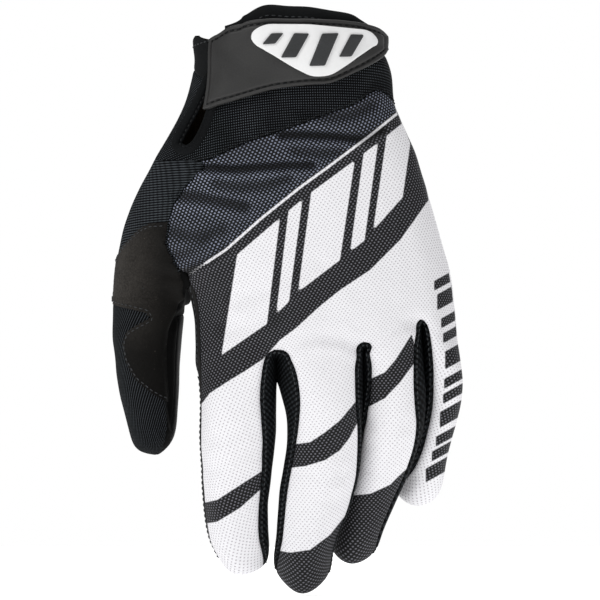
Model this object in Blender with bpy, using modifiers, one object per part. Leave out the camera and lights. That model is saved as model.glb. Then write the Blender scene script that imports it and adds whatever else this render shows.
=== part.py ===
"""Left-hand motocross glove, filled as if worn: the back of the hand faces -Y, the fingers hang
down -Z and the thumb is at -X. The origin is the centre of the wrist opening."""

import math

import bmesh
import bpy
import numpy as np
from mathutils import Vector
from mathutils.bvhtree import BVHTree

# Named sizes, in metres
GLOVE_LENGTH = 0.2153
LENGTH_STEPS = 592
STEP = GLOVE_LENGTH / LENGTH_STEPS  # every table counts in these shares of the glove length
WRIST_CENTRE = -20  # where the tables' "across" passes through the wrist opening's centre
MESH_WALL = 0.0013
KNIT_WALL = 0.0014
PALM_WALL = 0.0015
GUSSET_WALL = 0.0011
THUMB_WALL = 0.0014
CUFF_WALL = 0.0026
SUEDE_THICKNESS = 0.0010
STRAP_THICKNESS = 0.0022
BADGE_THICKNESS = 0.0016
BAR_THICKNESS = 0.0006
BINDING_THICKNESS = 0.0020
SEAM_GAP = 0.0005
SEAT_GAP = 0.0003
RAY_START = 0.15  # how far outside the glove a seated point is looked for from
RAY_NEAR = 0.03
STRAP_LIFT = 0.0011
SMOOTHING = 1
ROUNDING_PASSES = 6

# Section of the hand at each drop below the wrist opening, in steps:
# drop, left edge, right edge, middle depth, half depth to the back, half depth to the palm, fullness
HAND_SECTIONS = (
    (-30, -112, 72, 0, 62, 64, 2.1),
    (6, -118, 75, 0, 64, 66, 2.1),
    (28, -116, 76, 0, 64, 66, 2.1),
    (40, -116, 85, 0, 63, 66, 2.1),
    (58, -119, 80, 0, 62, 66, 2.1),
    (75, -125, 84, 0, 61, 67, 2.2),
    (94, -137, 96, 1, 61, 68, 2.2),
    (118, -151, 103, 2, 61, 69, 2.3),
    (130, -158, 107, 3, 61, 70, 2.3),
    (160, -158, 116, 4, 60, 70, 2.4),
    (192, -156, 126, 4, 58, 68, 2.4),
    (225, -150, 137, 4, 56, 62, 2.4),
    (255, -124, 142, 3, 53, 54, 2.4),
    (288, -114, 145, 1, 49, 44, 2.4),
    (320, -114, 149, -2, 46, 36, 2.4),
    (355, -112, 151, -3, 43, 28, 2.3),
)

# How far the little-finger side falls back from the index side: drop, set-back in steps
LITTLE_SIDE_SETBACK = ((0, 0), (100, 4), (200, 12), (270, 20), (320, 26))

SETBACK_START = 0.35
SETBACK_CURVE = 1.4
PALM_SETBACK_SHARE = 0.7

# Rows of the back of the hand: across then drop at the thumb-side seam, at the three finger
# boundaries and the drop at the little-finger side
BACK_ROWS = (
    (-82, -5, -46, -24.5, -2, -23, 42, -15, 2),
    (-91, 26, -52, 10, -2, 4, 42, 6, 11),
    (-95, 54, -54, 42, -4, 32, 40, 24, 21),
    (-100, 92, -56, 78, -5, 62, 40, 50, 38),
    (-107, 132, -60, 112, -10, 95, 38, 77, 60),
    (-128, 160, -70, 146, -10, 130, 46, 116, 105),
    (-141, 192, -78, 182, -10, 170, 56, 160, 152),
    (-140, 225, -77, 220, -6, 212, 68, 205, 200),
    (-120, 255, -65, 256, 8, 250, 82, 244, 242),
    (-112.5, 288, -48, 292, 33, 284, 98, 270, 272),
    (-110.5, 320, -35, 321, 54, 314, 111, 291, 300),
)
# Rows of the palm: drop at the thumb side, the middle and the little-finger side
PALM_ROWS = (
    (10, 10, 10),
    (20, 20, 20),
    (34, 32, 30),
    (76, 66, 56),
    (128, 112, 98),
    (160, 146, 134),
    (194, 184, 172),
    (228, 222, 212),
    (262, 258, 250),
    (302, 298, 276),
)
PALM_ROOTS = ((-104, 345), (-33, 347), (52, 342), (113, 313), (140, 305))
PALM_SEAM_INSET = 8
LEFT_EDGE_SHARE = 0.7
CUFF_LAST_ROW = 2
KNIT_LAST_ROW = 4
WINDOW_TOP_ROW = 4
WINDOW_FOOT_ROW = 8
ROOT_ROW = 10
SIDE_TURN = 0.90  # share of the half width at which the back turns into the side
VALLEY_DEPTH = 6
WEB_RISE = 3

# Fingers: drop, left edge, right edge, middle depth, half depth, then the angles of the two back
# seams, from 0 at the little-finger side over 90 at the back to 180 at the thumb side
INDEX_ROWS = (
    (362, -110, -33.5, -7, 32, 178, 53),
    (400, -110, -33, 1, 32, 178, 49),
    (438, -108, -38, 15, 30, 178, 42),
    (475, -106, -43, 31, 28, 178, 39),
    (509, -101.5, -41, 47, 26, 178, 42),
    (534, -93, -46, 58, 20, 178, 30),
)
INDEX_TIP = (-75, 63, 545.5)
MIDDLE_ROWS = (
    (362, -29, 49, -11, 34, 124, 33),
    (400, -23, 50, -3, 33, 140, 22),
    (440, -26, 47, 9, 32, 149, 8),
    (480, -31, 36, 26, 30, 150, 1),
    (516, -34, 23, 44, 27, 153, 0),
    (545, -33, 19, 57, 21, 165, 5),
)
MIDDLE_TIP = (-9, 64, 566.5)
RING_ROWS = (
    (352, 54, 114, 5, 30, 133, 48),
    (388, 52, 113, 12, 30, 147, 39),
    (424, 47, 104, 27, 29, 162, 28),
    (458, 37.5, 89, 46, 28, 171, 33),
    (495, 26.5, 73.5, 62, 26, 172, 22),
    (522, 20, 63.5, 71, 20, 172, 20),
)
RING_TIP = (41, 75, 536.5)
LITTLE_ROWS = (
    (334, 114, 151, 19, 24, 120, 40),
    (366, 109, 152.5, 35, 24, 112, 40),
    (400, 100, 144.5, 52, 24, 108, 40),
    (434, 90.5, 135.5, 67, 24, 117, 40),
    (463, 87, 128, 78, 19, 160, 40),
)
LITTLE_TIP = (109, 83, 478.5)
PALM_SEAM_ANGLE = -35
SLIT_TOP_DROP = 0.24
SLIT_TOP_OPEN = 0.70
INDEX_SIDE_ANGLES = (205, 235)
LITTLE_SIDE_ANGLES = (0, -40)
FINGER_HANG = 1.5  # how much the first ring of a finger or the thumb is turned to face down
TIP_CLOSE = 0.92  # share of the way to the tip at which the closing net's middle lies

# Thumb below its root: drop, left edge, right edge, middle depth, half depth
THUMB_ROWS = (
    (285, -198, -126, 38, 38),
    (315, -198, -128, 43, 37),
    (345, -194, -130, 48, 35),
    (372, -188, -131, 53, 32),
    (397, -182, -132.5, 57, 28),
    (415, -176, -138, 60, 21),
)
THUMB_TIP = (-154, 62, 427.5)
THUMB_HANG = (0, 0.1, -1)
THUMB_LEAN = 0.10  # how far the thumb's middle line leans outwards above its root
THUMB_FAN_STEPS = 3
FAN_SWING = 1.15
# Ways in which the thumb leaves its window, from the top over the back and the foot to the palm
FAN_STARTS = (
    (-0.42, 0.05, -0.90),
    (-0.88, 0.35, -0.30),
    (-0.80, 0.32, -0.50),
    (-0.72, 0.35, -0.60),
    (-0.55, 0.45, -0.70),
    (-0.40, 0.35, -0.85),
    (-0.25, 0.20, -0.95),
    (-0.50, 0.10, -0.86),
    (-0.55, 0.10, -0.83),
    (-0.66, 0.22, -0.70),
    (-0.76, 0.18, -0.60),
    (-0.72, 0.12, -0.68),
)

# Keyhole slit at the wrist: its way up through the cuff, then the middle line of its binding
SLIT_TOP = (
    (-103, 45), (-101, 40), (-101.5, 11), (-111, 7), (-124, 8), (-124, -60), (-85, -60), (-85, 40),
)
BINDING_LINE = (
    (-90, 48), (-93, 58), (-96.5, 75), (-101, 90), (-107, 104), (-114, 115), (-122, 120.5),
    (-129, 119), (-133, 113.5), (-129, 104), (-121, 89), (-113, 74), (-105, 58), (-101, 48),
)
BINDING_HALF_WIDTH = 3.6
SLIT_FRONT_DEPTH = -110
BINDING_PROUD = (0.0002, 0.0006, 0.0002)

# Closure strap: across, upper edge drop, lower edge drop
STRAP_ROWS = (
    (-103, 8, 77), (-98, 5, 76), (-90, 1, 72.5), (-78, -4, 67), (-60, -9, 61.5), (-40, -12, 56),
    (-20, -12, 52.5), (0, -12, 50.5), (18, -11.5, 49), (30, -10.5, 43), (44, -8, 35),
    (56, -5, 28.5), (66, -1.5, 23), (73, 3, 19), (77, 8, 14),
)
STRAP_SHARES = (0, 0.06, 0.35, 0.65, 0.94, 1)
STRAP_EDGE_HEIGHT = 0.55
WRIST_MIDDLE = -24
WRIST_REACH = (102, 66)
BADGE_OUTLINE = (
    (-55, 4), (-52, -2), (-44, -6), (-10, -6.5), (35, -4), (55, -2), (64, 2), (67, 9), (64, 16),
    (54, 25), (42, 34), (32, 39), (10, 41), (-12, 40), (-24, 35), (-38, 26), (-51, 15), (-55, 9),
)
BADGE_END_TRIM = 1.0
BADGE_COLUMNS = 15
BADGE_PARTS = 3
# Slanted bars on the badge: left and right at the upper end, left and right at the foot, drops
BADGE_BARS = (
    (-38, -26, -46, -34, 2, 13),
    (-16, -2, -28, -14, 2, 27),
    (10, 24, -2, 12, 2, 32),
    (36, 50, 24, 38, 3, 28),
)

# Suede patches on the thumb: angle round the thumb, upper and lower edge drop
PATCH_UPPER = (
    (200, 232, 271), (190, 231, 273), (180, 229, 275), (170, 225, 276), (160, 219, 277),
    (150, 212, 279), (140, 206, 281), (130, 202, 283), (120, 199, 285), (110, 198, 286),
    (100, 198, 287), (90, 200, 287), (80, 206, 285), (70, 215, 282),
)
PATCH_LOWER = (
    (152, 310, 324), (146, 302, 334), (140, 297, 342), (130, 294, 353), (120, 292.5, 361),
    (108, 291, 366), (96, 290, 370), (84, 290.5, 372), (72, 291, 373), (60, 292, 374),
)
PATCH_SEAT = 0.0005
PATCH_PARTS = 5


def at(across, depth, drop):
    return Vector(((across - WRIST_CENTRE) * STEP, depth * STEP, -drop * STEP))


def clear_scene():
    for old in list(bpy.data.objects):
        bpy.data.objects.remove(old, do_unlink=True)


def collection(name, hidden=False):
    made = bpy.data.collections.new(name)
    made.hide_render = hidden
    bpy.context.scene.collection.children.link(made)
    return made


def along(table, drop):
    """The row of a table at this drop, by straight interpolation of every column."""
    rows = np.array(table, float)
    return [float(np.interp(drop, rows[:, 0], rows[:, k])) for k in range(1, rows.shape[1])]


def setback(across, drop, left, right):
    share = max(0.0, (across - left) / (right - left) - SETBACK_START) / (1 - SETBACK_START)
    return along(LITTLE_SIDE_SETBACK, drop)[0] * share**SETBACK_CURVE


def on_hand(across, drop, side, valley=0.0):
    """Point of the hand's section; side -1 is the back, 1 the palm, 0 the outermost edge."""
    left, right, middle, back, palm, fullness = along(HAND_SECTIONS, drop)
    centre, half = (left + right) / 2, (right - left) / 2
    share = min(1.0, abs(across - centre) / half)
    reach = (1 - share**fullness) ** (1 / fullness)
    depth = middle + setback(across, drop, left, right) * (PALM_SETBACK_SHARE if side > 0 else 1)
    depth += side * reach * (back if side < 0 else palm) + valley
    return at(across, depth, drop)


class Surface:
    """The glove's whole outside as one net of four-sided faces, each with the piece it belongs to."""

    def __init__(self):
        self.points, self.faces, self.pieces = [], [], []

    def add(self, point):
        self.points.append(point)
        return len(self.points) - 1

    def band(self, upper, lower, names):
        """Faces between two rows of points, each row read from the thumb side over the back."""
        for k, name in enumerate(names):
            self.faces.append((upper[k], lower[k], lower[k + 1], upper[k + 1]))
            self.pieces.append(name)


def split(ends):
    """Values at every second column, with the means between them."""
    out = []
    for a, b in zip(ends, ends[1:]):
        out += [a, (a + b) / 2]
    return out + [ends[-1]]


def back_row(net, row):
    values = BACK_ROWS[row]
    section = along(HAND_SECTIONS, values[8])
    turn = (section[0] + section[1]) / 2 + SIDE_TURN * (section[1] - section[0]) / 2
    across = split([values[0], values[2], values[4], values[6], turn])
    drops = split([values[1], values[3], values[5], values[7], values[8]])
    made = []
    for k, (x, drop) in enumerate(zip(across, drops)):
        dip = VALLEY_DEPTH if row == ROOT_ROW and k in (2, 4, 6) else 0
        made.append(net.add(on_hand(x, drop, -1, dip)))
    return made, across, drops


def palm_row(net, row, across):
    if row == ROOT_ROW:
        xs = split([x for x, _ in PALM_ROOTS])
        drops = split([d for _, d in PALM_ROOTS])
    else:
        first, mid, last = PALM_ROWS[row]
        xs = list(across)
        if row >= WINDOW_FOOT_ROW:
            xs[0] += PALM_SEAM_INSET
        drops = [*np.linspace(first, mid, 5), *np.linspace(mid, last, 5)[1:]]
    return [
        net.add(on_hand(x, drop, 1, -VALLEY_DEPTH if row == ROOT_ROW and k in (2, 4, 6) else 0))
        for k, (x, drop) in enumerate(zip(xs, drops))
    ]


def edge_point(net, drop, right, turned=False):
    """The outermost point of one side, or one just round it towards the palm."""
    section = along(HAND_SECTIONS, drop)
    if turned:
        return net.add(on_hand(section[0] + 1, drop, 1))
    return net.add(on_hand(section[1] if right else section[0], drop, 0))


def ring_round(centre, toward, half_width, half_depth, angles):
    """Ring of points square to the way the finger runs, by angles from the little-finger side."""
    across = (Vector((1, 0, 0)) - toward * toward.x).normalized()
    depth = across.cross(toward).normalized()
    if depth.y > 0:
        depth = -depth
    return [
        centre
        + across * (half_width * math.cos(math.radians(a)))
        + depth * (half_depth * math.sin(math.radians(a)))
        for a in angles
    ]


def middle_line(rows, tip):
    centres = [at((r[1] + r[2]) / 2, r[3], r[0]) for r in rows] + [at(*tip)]
    ways = []
    for k in range(len(rows)):
        ways.append((centres[k + 1] - centres[max(0, k - 1)]).normalized())
    ways[0] = (ways[0] + Vector((0, 0, -FINGER_HANG))).normalized()
    return centres, ways


def close_end(net, ring, tip, longer, names):
    """Closes a ring of points with a small net whose longer side has this many faces."""
    half = len(ring) // 2
    shorter = half - longer
    inside = []
    for k in range(1, longer):
        share = k / longer
        a = Vector(net.points[ring[k]])
        b = Vector(net.points[ring[2 * longer + shorter - k]])
        inside.append(net.add(a.lerp(b, 0.5).lerp(tip, TIP_CLOSE)))
    left, right = ring[-1], ring[longer + 1]
    middle = [left, *inside, right]
    upper = ring[: longer + 1]
    lower = [ring[len(ring) - 2 - k] for k in range(longer + 1)]
    for k in range(longer):
        net.faces.append((upper[k], middle[k], middle[k + 1], upper[k + 1]))
        net.pieces.append(names[0])
        net.faces.append((middle[k], lower[k], lower[k + 1], middle[k + 1]))
        net.pieces.append(names[1])


def finger(net, root, rows, tip, side_names, left_angles=None, right_angles=None):
    """One finger from its root ring of eight points: back, right side, palm, left side."""
    centres, ways = middle_line(rows, tip)
    names = ["back_panel"] * 2 + [side_names[1]] * 2 + ["palm"] * 2 + [side_names[0]] * 2
    upper = root
    open_seams = [k for k, side in ((0, side_names[0]), (2, side_names[1])) if "gusset" in side]
    for k, (_, left, right, _, half_depth, seam_left, seam_right) in enumerate(rows):
        right_mid, right_palm = right_angles or (
            (seam_right + PALM_SEAM_ANGLE) / 2, PALM_SEAM_ANGLE)
        left_mid, left_palm = left_angles or (
            (seam_left + 180 - PALM_SEAM_ANGLE) / 2, 180 - PALM_SEAM_ANGLE)
        angles = (
            seam_left, (seam_left + seam_right) / 2, seam_right, right_mid, right_palm,
            (right_palm + left_palm - 360) / 2, left_palm, left_mid,
        )
        spots = ring_round(
            centres[k], ways[k], (right - left) / 2 * STEP, half_depth * STEP, angles)
        if k == 0:
            near = []
            for n, spot in enumerate(spots):
                start = Vector(net.points[root[n]])
                point = start.lerp(spot, SLIT_TOP_DROP)
                if n in open_seams:
                    point.x = start.x + (spot.x - start.x) * SLIT_TOP_OPEN
                near.append(net.add(point))
            net.band(upper + upper[:1], near + near[:1], names)
            upper = near
        ring = [net.add(p) for p in spots]
        net.band(upper + upper[:1], ring + ring[:1], names)
        upper = ring
    close_end(net, upper, centres[-1], 2, ("back_panel", "palm"))


def fan_point(start, end, way, share):
    reach = (end - start).length * FAN_SWING
    down = Vector((0, 0, -1)) * reach
    first = Vector(way).normalized() * reach
    a = 2 * share**3 - 3 * share**2 + 1
    b = share**3 - 2 * share**2 + share
    c = -2 * share**3 + 3 * share**2
    d = share**3 - share**2
    return start * a + first * b + end * c + down * d


def thumb(net, window):
    """The thumb, from its window in the side of the hand: ring of top, back, foot and palm points."""
    centres, ways = middle_line(THUMB_ROWS, THUMB_TIP)
    names = ["thumb_shell"] * 5 + ["thumb_inner_strip"] * 2 + ["thumb_shell"] * 5
    ways[0] = Vector(THUMB_HANG).normalized()
    angles = [180 - 30 * k for k in range(12)]
    first = THUMB_ROWS[0]
    ends = ring_round(
        centres[0], ways[0], (first[2] - first[1]) / 2 * STEP, first[4] * STEP, angles)
    upper = window
    for step in range(1, THUMB_FAN_STEPS + 1):
        share = step / THUMB_FAN_STEPS
        ring = [
            net.add(fan_point(Vector(net.points[window[k]]), ends[k], FAN_STARTS[k], share))
            for k in range(12)
        ]
        net.band(upper + upper[:1], ring + ring[:1], ["thumb_shell"] * 12)
        upper = ring
    for k in range(1, len(THUMB_ROWS)):
        _, left, right, _, half_depth = THUMB_ROWS[k]
        ring = [
            net.add(p)
            for p in ring_round(
                centres[k], ways[k], (right - left) / 2 * STEP, half_depth * STEP, angles)
        ]
        net.band(upper + upper[:1], ring + ring[:1], names)
        upper = ring
    turned = upper[1:] + upper[:1]
    close_end(net, turned, centres[-1], 4, ("thumb_shell", "thumb_shell"))


def glove_net():
    net = Surface()
    backs, palms, lefts, rights = [], [], [], []
    for row in range(ROOT_ROW + 1):
        back, across, drops = back_row(net, row)
        palm = palm_row(net, row, across)
        backs.append(back)
        palms.append(palm)
        middle = (drops[8] + -net.points[palm[8]].z / STEP) / 2
        rights.append(edge_point(net, middle, True))
        if WINDOW_TOP_ROW < row < WINDOW_FOOT_ROW:
            lefts.append(None)
        else:
            palm_drop = -net.points[palm[0]].z / STEP
            middle = drops[0] + (palm_drop - drops[0]) * LEFT_EDGE_SHARE
            lefts.append(edge_point(net, middle, False, row > WINDOW_FOOT_ROW))
    for row in range(ROOT_ROW):
        if row < CUFF_LAST_ROW:
            back_name = side_name = palm_name = "cuff"
        elif row < KNIT_LAST_ROW:
            back_name, side_name, palm_name = "wrist_knit", "wrist_knit", "palm"
        else:
            back_name, side_name, palm_name = "back_panel", "palm", "palm"
        net.band(backs[row], backs[row + 1], [back_name] * 8)
        right_name = side_name if row < KNIT_LAST_ROW else "back_panel"
        net.band(
            [backs[row][8], rights[row], palms[row][8]],
            [backs[row + 1][8], rights[row + 1], palms[row + 1][8]],
            [right_name] * 2,
        )
        net.band(palms[row][::-1], palms[row + 1][::-1], [palm_name] * 8)
        if row < WINDOW_TOP_ROW or row >= WINDOW_FOOT_ROW:
            net.band(
                [palms[row][0], lefts[row], backs[row][0]],
                [palms[row + 1][0], lefts[row + 1], backs[row + 1][0]],
                [side_name] * 2,
            )
    window = [lefts[WINDOW_TOP_ROW]]
    window += [backs[r][0] for r in range(WINDOW_TOP_ROW, WINDOW_FOOT_ROW + 1)]
    window += [lefts[WINDOW_FOOT_ROW]]
    window += [palms[r][0] for r in range(WINDOW_FOOT_ROW, WINDOW_TOP_ROW - 1, -1)]
    thumb(net, window)
    back, palm = backs[ROOT_ROW], palms[ROOT_ROW]
    webs = []
    for k in (2, 4, 6):
        a, b = net.points[back[k]], net.points[palm[k]]
        webs.append(net.add(a.lerp(b, 0.5) + Vector((0, 0, WEB_RISE * STEP))))
    sides = [lefts[ROOT_ROW], *webs, rights[ROOT_ROW]]
    gussets = ["palm", "gusset_index_middle", "gusset_middle_ring", "gusset_ring_little",
               "back_panel"]
    tables = (
        (INDEX_ROWS, INDEX_TIP, INDEX_SIDE_ANGLES, None),
        (MIDDLE_ROWS, MIDDLE_TIP, None, None),
        (RING_ROWS, RING_TIP, None, None),
        (LITTLE_ROWS, LITTLE_TIP, None, LITTLE_SIDE_ANGLES),
    )
    for i, (rows, tip, left_angles, right_angles) in enumerate(tables):
        a = 2 * i
        root = [back[a], back[a + 1], back[a + 2], sides[i + 1], palm[a + 2], palm[a + 1],
                palm[a], sides[i]]
        finger(net, root, rows, tip, (gussets[i], gussets[i + 1]), left_angles, right_angles)
    return net


def rounded_net(net, levels):
    """The net smoothed so that it still passes through its own points."""
    names = sorted(set(net.pieces))
    mesh = bpy.data.meshes.new("net")
    mesh.from_pydata([tuple(p) for p in net.points], [], net.faces)
    for name in names:
        mesh.materials.append(None)
    for polygon, name in zip(mesh.polygons, net.pieces):
        polygon.material_index = names.index(name)
    holder = bpy.data.objects.new("net", mesh)
    bpy.context.scene.collection.objects.link(holder)
    smooth = holder.modifiers.new("smooth", "SUBSURF")
    smooth.levels = smooth.render_levels = levels
    wanted = np.array([tuple(p) for p in net.points])
    held = wanted.copy()
    for _ in range(ROUNDING_PASSES):
        mesh.vertices.foreach_set("co", held.ravel())
        mesh.update()
        graph = bpy.context.evaluated_depsgraph_get()
        graph.update()
        done = bpy.data.meshes.new_from_object(holder.evaluated_get(graph))
        now = np.array([tuple(v.co) for v in done.vertices[: len(wanted)]])
        held += wanted - now
    bpy.data.objects.remove(holder, do_unlink=True)
    return done, names


def inward(points, normals, faces, rim):
    """For every rim point, the way along the surface into the piece and square to its rim."""
    ways = {k: Vector() for k in rim}
    for face in faces:
        centre = sum((points[k] for k in face), Vector()) / len(face)
        for k in face:
            if k in ways:
                ways[k] += centre - points[k]
    for k, neighbours in rim.items():
        if len(neighbours) == 2:
            run = (points[neighbours[1]] - points[neighbours[0]]).normalized()
            ways[k] -= run * ways[k].dot(run)
        ways[k] -= normals[k] * ways[k].dot(normals[k])
        ways[k].normalize()
    return ways


def cloth_piece(name, points, normals, faces, wall, into):
    """A closed wall of cloth below these faces of the glove's outside."""
    count = {}
    for face in faces:
        for a, b in zip(face, face[1:] + face[:1]):
            count[(a, b)] = count.get((a, b), 0) + 1
    edges = [(a, b) for (a, b) in count if (b, a) not in count]
    rim = {}
    for a, b in edges:
        rim.setdefault(a, []).append(b)
        rim.setdefault(b, []).append(a)
    ways = inward(points, normals, faces, rim)
    used = sorted({k for face in faces for k in face})
    index = {k: n for n, k in enumerate(used)}
    outer = [points[k] + ways[k] * (SEAM_GAP / 2) if k in ways else points[k] for k in used]
    inner = [p - normals[k] * wall for k, p in zip(used, outer)]
    n = len(used)
    made = [tuple(index[k] for k in face) for face in faces]
    made += [tuple(index[k] + n for k in reversed(face)) for face in faces]
    made += [(index[b], index[a], index[a] + n, index[b] + n) for a, b in edges]
    return solid(name, outer + inner, made, into)


def solid(name, points, faces, into):
    mesh = bpy.data.meshes.new(name)
    mesh.from_pydata([tuple(p) for p in points], [], faces)
    shell = bmesh.new()
    shell.from_mesh(mesh)
    bmesh.ops.recalc_face_normals(shell, faces=shell.faces)
    shell.to_mesh(mesh)
    shell.free()
    made = bpy.data.objects.new(name, mesh)
    into.objects.link(made)
    return made


def seated(tree, origin, toward, lift):
    """Point above the glove's outside, on the line from origin, with this lift along the normal."""
    hit, normal, _, _ = tree.ray_cast(origin + toward * RAY_START, -toward)
    if hit is None:
        hit, normal, _, _ = tree.find_nearest(origin + toward * RAY_NEAR)
    if normal.dot(toward) < 0:
        normal = -normal
    return hit + normal * lift


def plate(name, low, high, into):
    """A closed plate between two grids of points of one size, the second one outside."""
    rows, columns = len(low), len(low[0])
    points = [p for row in high for p in row] + [p for row in low for p in row]
    n = rows * columns
    faces = []
    for i in range(rows - 1):
        for j in range(columns - 1):
            a, b, c, d = (i * columns + j, (i + 1) * columns + j, (i + 1) * columns + j + 1,
                          i * columns + j + 1)
            faces.append((a, b, c, d))
            faces.append((d + n, c + n, b + n, a + n))
    loop = list(range(columns))
    loop += [i * columns + columns - 1 for i in range(1, rows)]
    loop += [(rows - 1) * columns + j for j in range(columns - 2, -1, -1)]
    loop += [i * columns for i in range(rows - 2, 0, -1)]
    for a, b in zip(loop, loop[1:] + loop[:1]):
        faces.append((a, b, b + n, a + n))
    return solid(name, points, faces, into)


def wrist_point(tree, across, drop, lift):
    """Point over the back of the wrist, seen at this place from the front."""
    share = max(-1.0, min(1.0, (across - WRIST_MIDDLE) / WRIST_REACH[0]))
    depth = -WRIST_REACH[1] * math.sqrt(1 - share**2)
    origin = at(WRIST_MIDDLE, 0, drop)
    toward = Vector((WRIST_REACH[0] * share, depth, 0))
    return seated(tree, origin, toward.normalized(), lift)


def closure_strap(tree, into):
    edge = len(STRAP_SHARES) - 1
    low, high = [], []
    for k, (across, top, foot) in enumerate(STRAP_ROWS):
        drops = [top + (foot - top) * s for s in STRAP_SHARES]
        end = k in (0, len(STRAP_ROWS) - 1)
        low.append([wrist_point(tree, across, d, STRAP_LIFT) for d in drops])
        high.append([
            wrist_point(tree, across, d, STRAP_LIFT + STRAP_THICKNESS
                        * (STRAP_EDGE_HEIGHT if end or j in (0, edge) else 1))
            for j, d in enumerate(drops)
        ])
    return plate("closure_strap", low, high, into)


def outline_rows(outline, columns):
    """Upper and lower drop of a closed outline at evenly spaced stations across."""
    xs = [x for x, _ in outline]
    stations = np.linspace(min(xs) + BADGE_END_TRIM, max(xs) - BADGE_END_TRIM, columns)
    rows = []
    for x in stations:
        cuts = []
        for (x0, y0), (x1, y1) in zip(outline, outline[1:] + outline[:1]):
            if (x0 - x) * (x1 - x) <= 0 and x0 != x1:
                cuts.append(y0 + (y1 - y0) * (x - x0) / (x1 - x0))
        rows.append((float(x), min(cuts), max(cuts)))
    return rows


def badge_plate(tree, rows, lift, into):
    low, high = [], []
    for across, top, foot in rows:
        drops = np.linspace(top, foot, BADGE_PARTS + 1)
        low.append([wrist_point(tree, across, d, lift) for d in drops])
        high.append([wrist_point(tree, across, d, lift + BADGE_THICKNESS) for d in drops])
    return plate("badge_plate", low, high, into)


def badge_bar(tree, name, bar, lift, into):
    """A flat bar with slanted ends, laid over the badge."""
    low, high = [], []
    for share in (0, 0.5, 1):
        left = bar[0] + (bar[2] - bar[0]) * share
        right = bar[1] + (bar[3] - bar[1]) * share
        drop = bar[4] + (bar[5] - bar[4]) * share
        spots = [left, (left + right) / 2, right]
        low.append([wrist_point(tree, x, drop, lift) for x in spots])
        high.append([wrist_point(tree, x, drop, lift + BAR_THICKNESS) for x in spots])
    return plate(name, low, high, into)


def thumb_point(tree, angle, drop, lift):
    centres, _ = middle_line(THUMB_ROWS, THUMB_TIP)
    drops = [-c.z / STEP for c in centres]
    across = float(np.interp(drop, drops, [c.x / STEP + WRIST_CENTRE for c in centres]))
    depth = float(np.interp(drop, drops, [c.y / STEP for c in centres]))
    across += max(0.0, drops[0] - drop) * THUMB_LEAN
    toward = Vector((math.cos(math.radians(angle)), -math.sin(math.radians(angle)), 0))
    origin = at(across, depth, drop)
    hit, normal, _, _ = tree.ray_cast(origin, toward)
    if normal.dot(toward) < 0:
        normal = -normal
    return hit + normal * lift


def thumb_patch(tree, name, rows, into):
    low, high = [], []
    for angle, top, foot in rows:
        drops = np.linspace(top, foot, PATCH_PARTS + 1)
        low.append([thumb_point(tree, angle, d, PATCH_SEAT) for d in drops])
        high.append([thumb_point(tree, angle, d, PATCH_SEAT + SUEDE_THICKNESS) for d in drops])
    return plate(name, low, high, into)


def binding_edge(side, more=0.0):
    """One edge line of the binding, as across and drop, with more room beside it."""
    line = []
    for k, (x, y) in enumerate(BINDING_LINE):
        a = BINDING_LINE[max(0, k - 1)]
        b = BINDING_LINE[min(len(BINDING_LINE) - 1, k + 1)]
        run = Vector((b[0] - a[0], b[1] - a[1])).normalized()
        off = side * (BINDING_HALF_WIDTH + more)
        line.append((x + run.y * off, y - run.x * off))
    return line


def slit_cutter(into):
    """A prism with the slit's outline that reaches only through the back of the wrist."""
    outline = binding_edge(1, SEAM_GAP / STEP) + list(SLIT_TOP)
    n = len(outline)
    front = [at(x, SLIT_FRONT_DEPTH, y) for x, y in outline]
    behind = [at(x, 0, y) for x, y in outline]
    faces = [tuple(range(n - 1, -1, -1)), tuple(range(n, 2 * n))]
    faces += [(k, (k + 1) % n, (k + 1) % n + n, k + n) for k in range(n)]
    cutter = solid("slit_cutter", front + behind, faces, into)
    cutter.display_type = "WIRE"
    return cutter


def cut(piece, cutter):
    step = piece.modifiers.new("slit", "BOOLEAN")
    step.operation = "DIFFERENCE"
    step.solver = "EXACT"
    step.object = cutter


def slit_binding(tree, into):
    """Flat edging that follows the keyhole end of the slit, a little proud of the knit."""
    low, high = [], []
    lines = (binding_edge(-1), BINDING_LINE, binding_edge(1))
    for spots in zip(*lines):
        low_row, high_row = [], []
        for (across, drop), proud in zip(spots, BINDING_PROUD):
            hit, _, _, _ = tree.ray_cast(at(across, SLIT_FRONT_DEPTH, drop), Vector((0, 1, 0)))
            high_row.append(hit - Vector((0, proud, 0)))
            low_row.append(hit + Vector((0, BINDING_THICKNESS - proud, 0)))
        low.append(low_row)
        high.append(high_row)
    return plate("slit_binding", low, high, into)


LOOKS = {
    "back_panel": (0.86, 0.86, 0.88), "wrist_knit": (0.015, 0.016, 0.02),
    "palm": (0.03, 0.03, 0.032), "gusset_index_middle": (0.02, 0.022, 0.028),
    "gusset_middle_ring": (0.02, 0.022, 0.028), "gusset_ring_little": (0.02, 0.022, 0.028),
    "thumb_shell": (0.02, 0.02, 0.024), "thumb_inner_strip": (0.016, 0.016, 0.018),
    "thumb_patch_upper": (0.035, 0.03, 0.027), "thumb_patch_lower": (0.035, 0.03, 0.027),
    "cuff": (0.02, 0.02, 0.024), "slit_binding": (0.03, 0.03, 0.035),
    "closure_strap": (0.05, 0.05, 0.052), "badge_plate": (0.9, 0.9, 0.9),
    "badge_bar_1": (0.05, 0.055, 0.06), "badge_bar_2": (0.05, 0.055, 0.06),
    "badge_bar_3": (0.05, 0.055, 0.06), "badge_bar_4": (0.05, 0.055, 0.06),
}
WALLS = {
    "back_panel": MESH_WALL, "wrist_knit": KNIT_WALL, "palm": PALM_WALL,
    "gusset_index_middle": GUSSET_WALL, "gusset_middle_ring": GUSSET_WALL,
    "gusset_ring_little": GUSSET_WALL, "thumb_shell": THUMB_WALL,
    "thumb_inner_strip": THUMB_WALL, "cuff": CUFF_WALL,
}


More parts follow.
